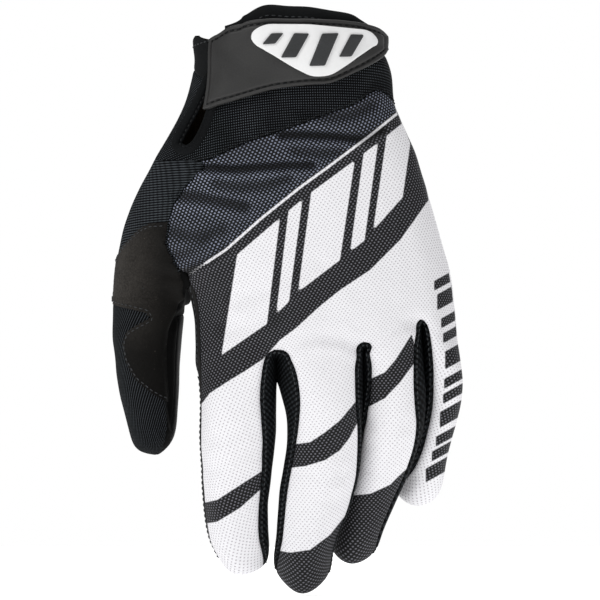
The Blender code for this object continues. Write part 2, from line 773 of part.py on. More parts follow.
def colour(piece):
    material = bpy.data.materials.new(piece.name)
    material.use_nodes = True
    shader = material.node_tree.nodes["Principled BSDF"]
    shader.inputs["Base Color"].default_value = (*LOOKS[piece.name], 1)
    shader.inputs["Roughness"].default_value = 0.8
    piece.data.materials.append(material)
    for polygon in piece.data.polygons:
        polygon.use_smooth = True


def build():
    clear_scene()
    glove = collection("motocross_glove")
    cutters = collection("cutters", hidden=True)
    done, names = rounded_net(glove_net(), SMOOTHING)
    points = [v.co.copy() for v in done.vertices]
    normals = [v.normal.copy() for v in done.vertices]
    faces = [tuple(p.vertices) for p in done.polygons]
    owners = [names[p.material_index] for p in done.polygons]
    tree = BVHTree.FromPolygons(points, faces)
    pieces = {}
    for name in names:
        own = [f for f, owner in zip(faces, owners) if owner == name]
        pieces[name] = cloth_piece(name, points, normals, own, WALLS[name], glove)
    cutter = slit_cutter(cutters)
    for name in ("wrist_knit", "cuff"):
        cut(pieces[name], cutter)
    slit_binding(tree, glove)
    closure_strap(tree, glove)
    lift = STRAP_LIFT + STRAP_THICKNESS + SEAT_GAP
    rows = outline_rows(BADGE_OUTLINE, BADGE_COLUMNS)
    badge_plate(tree, rows, lift, glove)
    lift += BADGE_THICKNESS + SEAT_GAP
    for number, bar in enumerate(BADGE_BARS, 1):
        badge_bar(tree, f"badge_bar_{number}", bar, lift, glove)
    thumb_patch(tree, "thumb_patch_upper", PATCH_UPPER, glove)
    thumb_patch(tree, "thumb_patch_lower", PATCH_LOWER, glove)
    for piece in glove.objects:
        colour(piece)


build()
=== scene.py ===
"""Left-hand motocross glove, filled as if worn: the cloth, leather and rubber pieces that dress
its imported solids. The back of the hand faces -Y, the fingers hang down and the thumb is at -X."""

import math
from functools import lru_cache

import bmesh
import bpy
import numpy as np
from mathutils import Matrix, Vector, noise
from mathutils.bvhtree import BVHTree
from mathutils.kdtree import KDTree


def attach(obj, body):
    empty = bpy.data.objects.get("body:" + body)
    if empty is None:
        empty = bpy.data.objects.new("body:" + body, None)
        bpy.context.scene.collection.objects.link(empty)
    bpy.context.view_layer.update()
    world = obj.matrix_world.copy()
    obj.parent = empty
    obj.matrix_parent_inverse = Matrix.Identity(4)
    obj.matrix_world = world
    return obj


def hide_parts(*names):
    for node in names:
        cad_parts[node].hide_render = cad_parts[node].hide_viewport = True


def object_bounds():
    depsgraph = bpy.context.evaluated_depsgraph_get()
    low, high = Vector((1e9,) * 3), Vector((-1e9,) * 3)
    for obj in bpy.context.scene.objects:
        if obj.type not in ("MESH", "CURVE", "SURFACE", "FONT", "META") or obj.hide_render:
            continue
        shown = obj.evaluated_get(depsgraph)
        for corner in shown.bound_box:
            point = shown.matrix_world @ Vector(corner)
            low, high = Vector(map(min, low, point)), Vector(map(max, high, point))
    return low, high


# Named sizes, in metres
GLOVE_LENGTH = 0.2153
LENGTH_STEPS = 592
STEP = GLOVE_LENGTH / LENGTH_STEPS  # every table counts in these shares of the glove length
WRIST_CENTRE = -20
PHOTO_CENTRE = 290  # photograph column that lies on the wrist opening's centre
PHOTO_TOP = 30
SEAM_GAP = 0.0002
RAY_START = 0.15  # how far outside the glove a ray starts
RAY_NEAR = 0.03  # where the nearest cloth is looked for when a ray misses
ROUNDING_PASSES = 5
SMOOTHING = 4
THUMB_RADIUS = 0.0135
WRIST_RADIUS = 0.031

# Section of the hand at each drop below the wrist opening, in steps: drop, left edge, right edge,
# middle depth, half depth to the back, half depth to the palm, fullness
HAND_SECTIONS = (
    (-30, -112, 72, 0, 62, 64, 2.1),
    (6, -118, 75, 0, 64, 66, 2.1),
    (28, -116, 76, 0, 64, 66, 2.1),
    (40, -116, 85, 0, 63, 66, 2.1),
    (58, -119, 80, 0, 62, 66, 2.1),
    (75, -125, 84, 0, 61, 67, 2.2),
    (94, -137, 96, 1, 61, 68, 2.2),
    (118, -151, 103, 2, 61, 69, 2.3),
    (130, -158, 107, 3, 61, 70, 2.3),
    (160, -158, 116, 4, 60, 70, 2.4),
    (192, -156, 126, 4, 58, 68, 2.4),
    (225, -150, 137, 4, 56, 62, 2.4),
    (255, -124, 142, 3, 53, 54, 2.4),
    (288, -114, 145, 1, 49, 44, 2.4),
    (320, -114, 149, -2, 46, 36, 2.4),
    (355, -112, 151, -3, 43, 28, 2.3),
)

# How far the little-finger side falls back from the index side: drop, set-back in steps
LITTLE_SIDE_SETBACK = ((0, 0), (100, 4), (200, 12), (270, 20), (320, 26))

SETBACK_START = 0.35
SETBACK_CURVE = 1.4
PALM_SETBACK_SHARE = 0.7

# Rows of the back of the hand: across then drop at the thumb-side seam, at the three finger
# boundaries and the drop at the little-finger side
BACK_ROWS = (
    (-82, -5, -46, -24.5, -2, -23, 42, -16, -4),
    (-91, 26, -52, 10, -2, 4, 42, 6, 11),
    (-95, 54, -54, 42, -4, 32, 40, 24, 21),
    (-100, 92, -56, 78, -5, 62, 40, 50, 38),
    (-107, 132, -60, 112, -10, 95, 38, 77, 60),
    (-128, 160, -70, 146, -10, 130, 46, 116, 105),
    (-141, 192, -78, 182, -10, 170, 56, 160, 152),
    (-140, 225, -77, 220, -6, 212, 68, 205, 200),
    (-120, 255, -65, 256, 8, 250, 82, 244, 242),
    (-112.9, 288, -48, 292, 33, 284, 98, 270, 272),
    (-111.6, 320, -35, 321, 54, 314, 111, 291, 300),
)
# Rows of the palm: drop at the thumb side, the middle and the little-finger side
PALM_ROWS = (
    (10, 10, 10),
    (20, 20, 20),
    (34, 32, 30),
    (76, 66, 56),
    (128, 112, 98),
    (160, 146, 134),
    (194, 184, 172),
    (228, 222, 212),
    (262, 258, 250),
    (302, 298, 276),
)
PALM_ROOTS = ((-104, 345), (-33, 347), (52, 342), (113, 313), (140, 305))
PALM_SEAM_INSET = 8
LEFT_EDGE_SHARE = 0.7
COLUMNS = 8  # faces across the back, and across the palm
BOUNDARY_COLUMNS = (2, 4, 6)  # where two fingers meet
CUFF_LAST_ROW = 2
KNIT_LAST_ROW = 4
WINDOW_TOP_ROW = 4
WINDOW_FOOT_ROW = 8
ROOT_ROW = 10
SIDE_TURN = 0.90  # share of the half width at which the back turns into the side
VALLEY_DEPTH = 6
WEB_RISE = 3

# Fingers: drop, left edge, right edge, middle depth, half depth, then the angles of the two back
# seams, from 0 at the little-finger side over 90 at the back to 180 at the thumb side
INDEX_ROWS = (
    (362, -110, -33.5, -7, 32, 188, 53),
    (400, -110, -33, 1, 32, 188, 49),
    (438, -108, -38, 15, 30, 188, 42),
    (475, -106, -43, 31, 28, 188, 39),
    (509, -101.5, -41, 47, 26, 188, 42),
    (534, -93, -46, 58, 20, 195, 2),
)
INDEX_TIP = (-75, 63, 545.5)
MIDDLE_ROWS = (
    (362, -29, 52.4, -11, 34, 124, 33),
    (400, -23, 52.2, -3, 33, 140, 22),
    (440, -26, 47, 9, 32, 149, 8),
    (480, -31, 36, 26, 30, 150, 1),
    (516, -34, 23, 44, 27, 153, 0),
    (545, -34.5, 19, 57, 21, 192, -14),
)
MIDDLE_TIP = (-9, 64, 566.5)
RING_ROWS = (
    (352, 50.4, 115.4, 5, 30, 133, 48),
    (388, 48.6, 114.2, 12, 30, 147, 39),
    (424, 45.4, 104, 27, 29, 162, 28),
    (458, 37.5, 89, 46, 28, 171, 33),
    (495, 26.5, 73.5, 62, 26, 172, 22),
    (522, 20, 63.5, 71, 20, 195, 0),
)
RING_TIP = (41, 75, 536.5)
LITTLE_ROWS = (
    (334, 112, 151, 19, 24, 120, 40),
    (366, 107.8, 152.5, 35, 24, 112, 40),
    (400, 100, 144.5, 52, 24, 108, 40),
    (434, 90.5, 135.5, 67, 24, 117, 40),
    (463, 87, 128, 78, 19, 188, 40),
)
LITTLE_TIP = (109, 83, 478.5)
PALM_SEAM_ANGLE = -35
SLIT_TOP_DROP = 0.24
SLIT_TOP_OPEN = 0.70
INDEX_SIDE_ANGLES = (205, 235)
LITTLE_SIDE_ANGLES = (0, -40)
FINGERS = (
    (INDEX_ROWS, INDEX_TIP, INDEX_SIDE_ANGLES, None),
    (MIDDLE_ROWS, MIDDLE_TIP, None, None),
    (RING_ROWS, RING_TIP, None, None),
    (LITTLE_ROWS, LITTLE_TIP, None, LITTLE_SIDE_ANGLES),
)
GUSSETS = ("gusset_index_middle", "gusset_middle_ring", "gusset_ring_little")
FINGER_HANG = 1.5  # how much the first ring of a finger or the thumb is turned to face down
TIP_CLOSE = 0.92  # share of the way to the tip at which the closing net's middle lies

# Thumb below its root: drop, left edge, right edge, middle depth, half depth
THUMB_ROWS = (
    (285, -198, -126, 38, 38),
    (315, -198, -128, 43, 37),
    (345, -194, -130, 48, 35),
    (372, -188, -131, 53, 32),
    (397, -182, -132.5, 57, 28),
    (415, -176, -138, 60, 21),
)
THUMB_TIP = (-152, 62, 430.5)
THUMB_TIP_CLOSE = 0.66
THUMB_HANG = (0, 0.1, -1)
THUMB_LEAN = 0.10  # how far the thumb's middle line leans outwards above its root
THUMB_SIDES = 12
THUMB_FAN_STEPS = 3
FAN_SWING = 1.15
# Ways in which the thumb leaves its window, from the top over the back and the foot to the palm
FAN_STARTS = (
    (-0.42, 0.05, -0.90),
    (-0.88, 0.35, -0.30),
    (-0.80, 0.32, -0.50),
    (-0.72, 0.35, -0.60),
    (-0.55, 0.45, -0.70),
    (-0.40, 0.35, -0.85),
    (-0.25, 0.20, -0.95),
    (-0.50, 0.10, -0.86),
    (-0.55, 0.10, -0.83),
    (-0.66, 0.22, -0.70),
    (-0.76, 0.18, -0.60),
    (-0.72, 0.12, -0.68),
)

# Keyhole slit at the wrist: its way up through the cuff, then the middle line of its edging
SLIT_TOP = (
    (-103, 45), (-101, 40), (-101.5, 11), (-111, 7), (-124, 8), (-124, -60), (-85, -60), (-85, 40),
)
BINDING_LINE = (
    (-90, 48), (-93, 58), (-96.5, 75), (-101, 90), (-107, 104), (-114, 115), (-122, 120.5),
    (-129, 119), (-133, 113.5), (-129, 104), (-121, 89), (-113, 74), (-105, 58), (-101, 48),
)
SLIT_FRONT_DEPTH = -110
SLIT_MARGIN = 1.5  # how far the cut goes past the middle line of the edging

# Closure strap: across, upper edge drop, lower edge drop
STRAP_ROWS = (
    (-103, 10, 81), (-98, 7, 80.5), (-90, 3.5, 77), (-78, -3, 72), (-60, -8, 66.5),
    (-40, -10, 61), (-20, -9.5, 57.5), (0, -9.5, 55.5), (18, -9, 54), (30, -8.5, 49.5),
    (44, -7, 42.5), (56, -4.5, 36), (65, -1.5, 31), (71, 2.5, 27), (75.5, 8, 22),
)
WRIST_MIDDLE = -24
WRIST_REACH = (102, 66)
BADGE_OUTLINE = (
    (-57, 9), (-55, 3), (-50, -1), (-42, -4), (0, -3.5), (50, 1), (57, 4.5), (61, 11), (59, 17),
    (38, 33), (18, 46), (2, 47.5), (-20, 35.5), (-40, 23), (-53, 15.5),
)
# Slanted bars on the badge: left and right at the upper end, left and right at the foot, drops
BADGE_BARS = (
    (-38, -26, -46, -34, 5, 15),
    (-16, -2, -28, -14, 5, 28),
    (10, 24, -2, 12, 5, 36),
    (35, 47, 24, 36, 6, 28),
)


def at(across, depth, drop):
    return Vector(((across - WRIST_CENTRE) * STEP, depth * STEP, -drop * STEP))


def along(table, drop):
    """The row of a table at this drop, by straight interpolation of every column."""
    rows = np.array(table, float)
    return [float(np.interp(drop, rows[:, 0], rows[:, k])) for k in range(1, rows.shape[1])]


def setback(across, drop, left, right):
    share = max(0.0, (across - left) / (right - left) - SETBACK_START) / (1 - SETBACK_START)
    return along(LITTLE_SIDE_SETBACK, drop)[0] * share**SETBACK_CURVE


def on_hand(across, drop, side, valley=0.0):
    """Point of the hand's section; side -1 is the back, 1 the palm, 0 the outermost edge."""
    left, right, middle, back, palm, fullness = along(HAND_SECTIONS, drop)
    centre, half = (left + right) / 2, (right - left) / 2
    share = min(1.0, abs(across - centre) / half)
    reach = (1 - share**fullness) ** (1 / fullness)
    depth = middle + setback(across, drop, left, right) * (PALM_SETBACK_SHARE if side > 0 else 1)
    depth += side * reach * (back if side < 0 else palm) + valley
    return at(across, depth, drop)


class Surface:
    """The glove's whole outside as one net of four-sided faces, each with its piece's name."""

    def __init__(self):
        self.points, self.faces, self.pieces = [], [], []

    def add(self, point):
        self.points.append(point)
        return len(self.points) - 1

    def band(self, upper, lower, names):
        """Faces between two rows of points, each row read from the thumb side over the back."""
        for k, name in enumerate(names):
            self.faces.append((upper[k], lower[k], lower[k + 1], upper[k + 1]))
            self.pieces.append(name)


def placed(name, data):
    """A new object in the scene."""
    made = bpy.data.objects.new(name, data)
    bpy.context.scene.collection.objects.link(made)
    return made


def chain(points):
    """The points with the edges of one open line through them."""
    return points, [(k, k + 1) for k in range(len(points) - 1)]


def tube(rings, n):
    """Faces between rings of n points that follow one another."""
    return [(r * n + k, r * n + (k + 1) % n, (r + 1) * n + (k + 1) % n, (r + 1) * n + k)
            for r in range(rings - 1) for k in range(n)]


def split(ends):
    """Values at every second column, with the means between them."""
    out = []
    for a, b in zip(ends, ends[1:]):
        out += [a, (a + b) / 2]
    return out + [ends[-1]]


def back_row(net, row):
    values = BACK_ROWS[row]
    section = along(HAND_SECTIONS, values[8])
    turn = (section[0] + section[1]) / 2 + SIDE_TURN * (section[1] - section[0]) / 2
    across = split([values[0], values[2], values[4], values[6], turn])
    drops = split([values[1], values[3], values[5], values[7], values[8]])
    made = []
    for k, (x, drop) in enumerate(zip(across, drops)):
        dip = VALLEY_DEPTH if row == ROOT_ROW and k in BOUNDARY_COLUMNS else 0
        made.append(net.add(on_hand(x, drop, -1, dip)))
    return made, across, drops


def palm_row(net, row, across):
    if row == ROOT_ROW:
        xs = split([x for x, _ in PALM_ROOTS])
        drops = split([d for _, d in PALM_ROOTS])
    else:
        first, mid, last = PALM_ROWS[row]
        xs = list(across)
        if row >= WINDOW_FOOT_ROW:
            xs[0] += PALM_SEAM_INSET
        drops = [*np.linspace(first, mid, 5), *np.linspace(mid, last, 5)[1:]]
    made = []
    for k, (x, drop) in enumerate(zip(xs, drops)):
        dip = -VALLEY_DEPTH if row == ROOT_ROW and k in BOUNDARY_COLUMNS else 0
        made.append(net.add(on_hand(x, drop, 1, dip)))
    return made


def edge_point(net, drop, right, turned=False):
    """The outermost point of one side, or one just round it towards the palm."""
    section = along(HAND_SECTIONS, drop)
    if turned:
        return net.add(on_hand(section[0] + 1, drop, 1))
    return net.add(on_hand(section[1] if right else section[0], drop, 0))


def ring_round(centre, toward, half_width, half_depth, angles):
    """Ring of points square to the way the finger runs, by angles from the little-finger side."""
    across = (Vector((1, 0, 0)) - toward * toward.x).normalized()
    depth = across.cross(toward).normalized()
    if depth.y > 0:
        depth = -depth
    return [
        centre
        + across * (half_width * math.cos(math.radians(a)))
        + depth * (half_depth * math.sin(math.radians(a)))
        for a in angles
    ]


def middle_line(rows, tip):
    centres = [at((r[1] + r[2]) / 2, r[3], r[0]) for r in rows] + [at(*tip)]
    ways = []
    for k in range(len(rows)):
        ways.append((centres[k + 1] - centres[max(0, k - 1)]).normalized())
    ways[0] = (ways[0] + Vector((0, 0, -FINGER_HANG))).normalized()
    return centres, ways


def close_end(net, ring, tip, longer, names, close=TIP_CLOSE):
    """Closes a ring of points with a small net whose longer side has this many faces."""
    half = len(ring) // 2
    shorter = half - longer
    inside = []
    for k in range(1, longer):
        share = k / longer
        a = Vector(net.points[ring[k]])
        b = Vector(net.points[ring[2 * longer + shorter - k]])
        inside.append(net.add(a.lerp(b, 0.5).lerp(tip, close)))
    left, right = ring[-1], ring[longer + 1]
    middle = [left, *inside, right]
    upper = ring[: longer + 1]
    lower = [ring[len(ring) - 2 - k] for k in range(longer + 1)]
    for k in range(longer):
        net.faces.append((upper[k], middle[k], middle[k + 1], upper[k + 1]))
        net.pieces.append(names[0])
        net.faces.append((middle[k], lower[k], lower[k + 1], middle[k + 1]))
        net.pieces.append(names[1])


def finger(net, root, rows, tip, side_names, left_angles=None, right_angles=None):
    """One finger from its root ring of eight points: back, right side, palm, left side."""
    centres, ways = middle_line(rows, tip)
    names = ["back_panel"] * 2 + [side_names[1]] * 2 + ["palm"] * 2 + [side_names[0]] * 2
    upper = root
    open_seams = [k for k, side in ((0, side_names[0]), (2, side_names[1])) if "gusset" in side]
    for k, (_, left, right, _, half_depth, seam_left, seam_right) in enumerate(rows):
        right_mid, right_palm = right_angles or (
            (seam_right + PALM_SEAM_ANGLE) / 2, PALM_SEAM_ANGLE)
        left_mid, left_palm = left_angles or (
            (seam_left + 180 - PALM_SEAM_ANGLE) / 2, 180 - PALM_SEAM_ANGLE)
        angles = (
            seam_left, (seam_left + seam_right) / 2, seam_right, right_mid, right_palm,
            (right_palm + left_palm - 360) / 2, left_palm, left_mid,
        )
        spots = ring_round(
            centres[k], ways[k], (right - left) / 2 * STEP, half_depth * STEP, angles)
        if k == 0:
            near = []
            for n, spot in enumerate(spots):
                start = Vector(net.points[root[n]])
                point = start.lerp(spot, SLIT_TOP_DROP)
                if n in open_seams:
                    point.x = start.x + (spot.x - start.x) * SLIT_TOP_OPEN
                near.append(net.add(point))
            net.band(upper + upper[:1], near + near[:1], names)
            upper = near
        ring = [net.add(p) for p in spots]
        net.band(upper + upper[:1], ring + ring[:1], names)
        upper = ring
    close_end(net, upper, centres[-1], 2, ("back_panel", "palm"))


def fan_point(start, end, way, share):
    reach = (end - start).length * FAN_SWING
    down = Vector((0, 0, -1)) * reach
    first = Vector(way).normalized() * reach
    a = 2 * share**3 - 3 * share**2 + 1
    b = share**3 - 2 * share**2 + share
    c = -2 * share**3 + 3 * share**2
    d = share**3 - share**2
    return start * a + first * b + end * c + down * d


def thumb(net, window):
    """The thumb, from its window in the side of the hand, a ring of twelve points."""
    centres, ways = middle_line(THUMB_ROWS, THUMB_TIP)
    names = ["thumb_shell"] * 5 + ["thumb_inner_strip"] * 2 + ["thumb_shell"] * 5
    ways[0] = Vector(THUMB_HANG).normalized()
    angles = [180 - 360 // THUMB_SIDES * k for k in range(THUMB_SIDES)]
    first = THUMB_ROWS[0]
    ends = ring_round(
        centres[0], ways[0], (first[2] - first[1]) / 2 * STEP, first[4] * STEP, angles)
    upper = window
    for step in range(1, THUMB_FAN_STEPS + 1):
        share = step / THUMB_FAN_STEPS
        ring = [
            net.add(fan_point(Vector(net.points[window[k]]), ends[k], FAN_STARTS[k], share))
            for k in range(THUMB_SIDES)
        ]
        net.band(upper + upper[:1], ring + ring[:1], ["thumb_shell"] * THUMB_SIDES)
        upper = ring
    for k in range(1, len(THUMB_ROWS)):
        _, left, right, _, half_depth = THUMB_ROWS[k]
        ring = [
            net.add(p)
            for p in ring_round(
                centres[k], ways[k], (right - left) / 2 * STEP, half_depth * STEP, angles)
        ]
        net.band(upper + upper[:1], ring + ring[:1], names)
        upper = ring
    turned = upper[1:] + upper[:1]
    close_end(net, turned, centres[-1], 4, ("thumb_shell", "thumb_shell"), THUMB_TIP_CLOSE)


def glove_net():
    net = Surface()
    backs, palms, lefts, rights = [], [], [], []
    for row in range(ROOT_ROW + 1):
        back, across, drops = back_row(net, row)
        palm = palm_row(net, row, across)
        backs.append(back)
        palms.append(palm)
        middle = (drops[8] + -net.points[palm[8]].z / STEP) / 2
        rights.append(edge_point(net, middle, True))
        if WINDOW_TOP_ROW < row < WINDOW_FOOT_ROW:
            lefts.append(None)
        else:
            palm_drop = -net.points[palm[0]].z / STEP
            middle = drops[0] + (palm_drop - drops[0]) * LEFT_EDGE_SHARE
            lefts.append(edge_point(net, middle, False, row > WINDOW_FOOT_ROW))
    for row in range(ROOT_ROW):
        if row < CUFF_LAST_ROW:
            back_name = side_name = palm_name = "cuff"
        elif row < KNIT_LAST_ROW:
            back_name, side_name, palm_name = "wrist_knit", "wrist_knit", "palm"
        else:
            back_name, side_name, palm_name = "back_panel", "palm", "palm"
        net.band(backs[row], backs[row + 1], [back_name] * COLUMNS)
        right_name = side_name if row < KNIT_LAST_ROW else "back_panel"
        net.band(
            [backs[row][8], rights[row], palms[row][8]],
            [backs[row + 1][8], rights[row + 1], palms[row + 1][8]],
            [right_name] * 2,
        )
        net.band(palms[row][::-1], palms[row + 1][::-1], [palm_name] * COLUMNS)
        if row < WINDOW_TOP_ROW or row >= WINDOW_FOOT_ROW:
            net.band(
                [palms[row][0], lefts[row], backs[row][0]],
                [palms[row + 1][0], lefts[row + 1], backs[row + 1][0]],
                [side_name] * 2,
            )
    window = [lefts[WINDOW_TOP_ROW]]
    window += [backs[r][0] for r in range(WINDOW_TOP_ROW, WINDOW_FOOT_ROW + 1)]
    window += [lefts[WINDOW_FOOT_ROW]]
    window += [palms[r][0] for r in range(WINDOW_FOOT_ROW, WINDOW_TOP_ROW - 1, -1)]
    thumb(net, window)
    back, palm = backs[ROOT_ROW], palms[ROOT_ROW]
    webs = []
    for k in BOUNDARY_COLUMNS:
        a, b = net.points[back[k]], net.points[palm[k]]
        webs.append(net.add(a.lerp(b, 0.5) + Vector((0, 0, WEB_RISE * STEP))))
    sides = [lefts[ROOT_ROW], *webs, rights[ROOT_ROW]]
    side_names = ("palm", *GUSSETS, "back_panel")
    for i, (rows, tip, left_angles, right_angles) in enumerate(FINGERS):
        a = 2 * i
        root = [back[a], back[a + 1], back[a + 2], sides[i + 1], palm[a + 2], palm[a + 1],
                palm[a], sides[i]]
        finger(net, root, rows, tip, side_names[i : i + 2], left_angles, right_angles)
    return net


def rounded_net(net, levels):
    """The net smoothed so that it still passes through its own points."""
    names = sorted(set(net.pieces))
    mesh = bpy.data.meshes.new("net")
    mesh.from_pydata([tuple(p) for p in net.points], [], net.faces)
    for name in names:
        mesh.materials.append(None)
    for polygon, name in zip(mesh.polygons, net.pieces):
        polygon.material_index = names.index(name)
    holder = placed("net", mesh)
    smooth = holder.modifiers.new("smooth", "SUBSURF")
    smooth.levels = smooth.render_levels = levels
    wanted = np.array([tuple(p) for p in net.points])
    held = wanted.copy()
    for _ in range(ROUNDING_PASSES):
        mesh.vertices.foreach_set("co", held.ravel())
        mesh.update()
        graph = bpy.context.evaluated_depsgraph_get()
        graph.update()
        done = bpy.data.meshes.new_from_object(holder.evaluated_get(graph))
        now = np.array([tuple(v.co) for v in done.vertices[: len(wanted)]])
        held += wanted - now
    bpy.data.objects.remove(holder, do_unlink=True)
    return done, names


def inward(points, normals, faces, rim):
    """For every rim point, the way along the surface into the piece and square to its rim."""
    ways = {k: Vector() for k in rim}
    for face in faces:
        centre = sum((points[k] for k in face), Vector()) / len(face)
        for k in face:
            if k in ways:
                ways[k] += centre - points[k]
    for k, neighbours in rim.items():
        if len(neighbours) == 2:
            run = (points[neighbours[1]] - points[neighbours[0]]).normalized()
            ways[k] -= run * ways[k].dot(run)
        ways[k] -= normals[k] * ways[k].dot(normals[k])
        ways[k].normalize()
    return ways


def seated(tree, origin, toward, lift, near=RAY_NEAR):
    """Point above the glove's outside, on the line from origin, with this lift along the normal."""
    hit, normal, _, _ = tree.ray_cast(origin + toward * RAY_START, -toward)
    if hit is None:
        hit, normal, _, _ = tree.find_nearest(origin + toward * near)
    if normal.dot(toward) < 0:
        normal = -normal
    return hit + normal * lift


def wrist_point(tree, across, drop, lift):
    """Point over the back of the wrist, seen at this place from the front."""
    share = max(-1.0, min(1.0, (across - WRIST_MIDDLE) / WRIST_REACH[0]))
    depth = -WRIST_REACH[1] * math.sqrt(1 - share**2)
    origin = at(WRIST_MIDDLE, 0, drop)
    toward = Vector((WRIST_REACH[0] * share, depth, 0))
    return seated(tree, origin, toward.normalized(), lift)


@lru_cache
def thumb_middle(drop):
    centres, _ = middle_line(THUMB_ROWS, THUMB_TIP)
    drops = [-c.z / STEP for c in centres]
    across = float(np.interp(drop, drops, [c.x / STEP + WRIST_CENTRE for c in centres]))
    depth = float(np.interp(drop, drops, [c.y / STEP for c in centres]))
    return across + max(0.0, drops[0] - drop) * THUMB_LEAN, depth


def thumb_point(tree, angle, drop, lift):
    """A point over the thumb's cloth, by its angle round the thumb and its drop."""
    toward = Vector((math.cos(math.radians(angle)), -math.sin(math.radians(angle)), 0))
    return seated(tree, at(*thumb_middle(drop), drop), toward, lift, THUMB_RADIUS)


# Piece, wall, how far from a seam the cloth starts to turn down, and by how much it does
CLOTH = {
    "back_panel": ("mesh_back", 0.0013, 0.0020, 0.0006),
    "wrist_knit": ("wrist_knit_top", 0.0014, 0.0016, 0.0005),
    "palm": ("leather_palm", 0.0015, 0.0018, 0.0005),
    "gusset_index_middle": ("stretch_side_1", 0.0011, 0.0014, 0.0006),
    "gusset_middle_ring": ("stretch_side_2", 0.0011, 0.0014, 0.0006),
    "gusset_ring_little": ("stretch_side_3", 0.0011, 0.0014, 0.0006),
    "thumb_shell": ("ribbed_thumb", 0.0014, 0.0014, 0.0004),
    "thumb_inner_strip": ("thumb_strip", 0.0014, 0.0014, 0.0003),
    "cuff": ("neoprene_cuff", 0.0026, 0.0016, 0.0003),
}
OPEN_EDGE = (0.0024, 0.0011)  # turn-down of an edge that is sewn to nothing
INNER_CLEARANCE = 0.55  # share of the wall that the inside has to lie under the glove's outside
INNER_AT_CREASE = 0.15  # share of the wall that is left where a crease leaves less room
TIP_SEAM_START = 0.0105  # how far from a fingertip the seams begin to turn down
TIP_SEAM_REACH = 0.008
TIP_SEAM_LEAST = 0.1
SEEN_FACING = -0.6  # cloth that is turned at least this much to the front sets its weave's way
SEEN_LEAST = 30
LEVEL_SEAMS = (("thumb_shell", "wrist_knit"), ("palm", "wrist_knit"), ("palm", "thumb_shell"))

# Folds of the cloth: depth and width in millimetres, then a line of photograph places
FOLDS = (
    (1.0, 1.4, ((186, 312), (176, 318), (169, 332), (166, 352), (167, 380), (170, 404),
                (174, 428))),
    (2.1, 1.6, ((197, 168), (214, 169), (235, 170), (262, 168), (290, 166), (312, 166))),
    (2.1, 1.6, ((282, 136), (305, 136), (330, 137), (350, 139), (366, 139), (384, 130))),
    (1.5, 2.2, ((178, 196), (200, 198), (222, 202), (245, 207))),
    (1.0, 1.6, ((186, 276), (192, 268), (210, 261), (228, 249))),
    (1.0, 2.2, ((300, 112), (330, 118), (352, 116), (372, 106))),
    (0.4, 3.0, ((232, 300), (262, 292), (290, 276), (318, 262))),
    (0.4, 3.0, ((222, 330), (250, 326), (276, 318))),
    (0.8, 2.6, ((284, 352), (300, 340), (318, 336), (340, 338), (357, 346))),
    (0.8, 2.6, ((374, 345), (390, 330), (402, 322), (413, 322))),
    (0.4, 3.0, ((210, 440), (232, 436), (254, 428))),
    (0.4, 3.0, ((214, 470), (236, 466), (258, 456))),
    (0.4, 3.0, ((300, 470), (318, 476), (340, 474))),
    (0.4, 3.0, ((296, 505), (314, 508), (334, 502))),
    (0.4, 3.0, ((372, 424), (388, 430), (402, 424))),
    (0.5, 2.0, ((150, 284), (166, 276), (180, 276), (189, 280))),
    (0.9, 2.4, ((172, 232), (186, 236), (204, 236), (222, 230))),
    (0.7, 2.4, ((176, 256), (190, 250), (206, 240))),
    (0.9, 2.2, ((216, 184), (240, 188), (266, 186), (288, 178))),
    (0.8, 2.2, ((296, 152), (318, 154), (340, 152))),
    (0.6, 2.0, ((140, 262), (156, 272), (172, 278))),
)

PALM_FOLDS = (
    (0.8, 2.4, ((214, 250), (232, 262), (246, 286), (250, 316), (244, 340))),
    (0.7, 2.4, ((262, 300), (300, 296), (340, 284), (380, 270), (420, 262))),
    (0.7, 2.4, ((216, 322), (256, 330), (300, 326), (350, 312), (400, 296))),
    (0.6, 2.0, ((206, 352), (240, 356), (262, 352))),
    (0.6, 2.0, ((284, 356), (320, 356), (352, 350))),
    (0.6, 2.0, ((370, 348), (400, 340), (416, 332))),
    (0.6, 1.8, ((204, 432), (236, 430), (262, 426))),
    (0.6, 1.8, ((204, 496), (236, 494), (262, 490))),
    (0.6, 1.8, ((284, 440), (320, 440), (354, 436))),
    (0.6, 1.8, ((278, 504), (310, 506), (344, 500))),
    (0.6, 1.8, ((356, 424), (386, 420), (412, 412))),
    (0.6, 1.8, ((346, 482), (372, 480), (398, 472))),
    (0.6, 1.8, ((416, 400), (436, 398), (456, 392))),
    (0.6, 1.8, ((404, 448), (426, 446), (446, 440))),
    (0.5, 2.0, ((112, 352), (140, 356), (180, 352))),
    (0.6, 2.0, ((112, 300), (140, 304), (178, 300))),
)

# Places of the print, in the photograph: areas as closed outlines
HEATHER_AREA = (
    (150, 268), (190, 268), (208, 262), (225, 250), (260, 218), (300, 185), (325, 167),
    (370, 133), (395, 112), (520, 14), (520, 0), (150, 0),
)
DARK_AREA = (
    (150, 250), (190, 254), (208, 248), (225, 236), (260, 204), (300, 171), (325, 153),
    (370, 119), (395, 98), (520, 0), (520, 125), (460, 170), (427, 202), (413, 222), (400, 240),
    (370, 270), (340, 290), (320, 306), (296, 328), (280, 340), (263, 359), (245, 371),
    (230, 380), (210, 393), (200, 406), (170, 420),
)
PIN_STRIPE = ((207, 262.5), (226, 250), (261, 219), (301, 187), (326, 169), (371, 135), (398, 113),
              (520, 18))
PIN_STRIPE_WIDTH = 0.0009
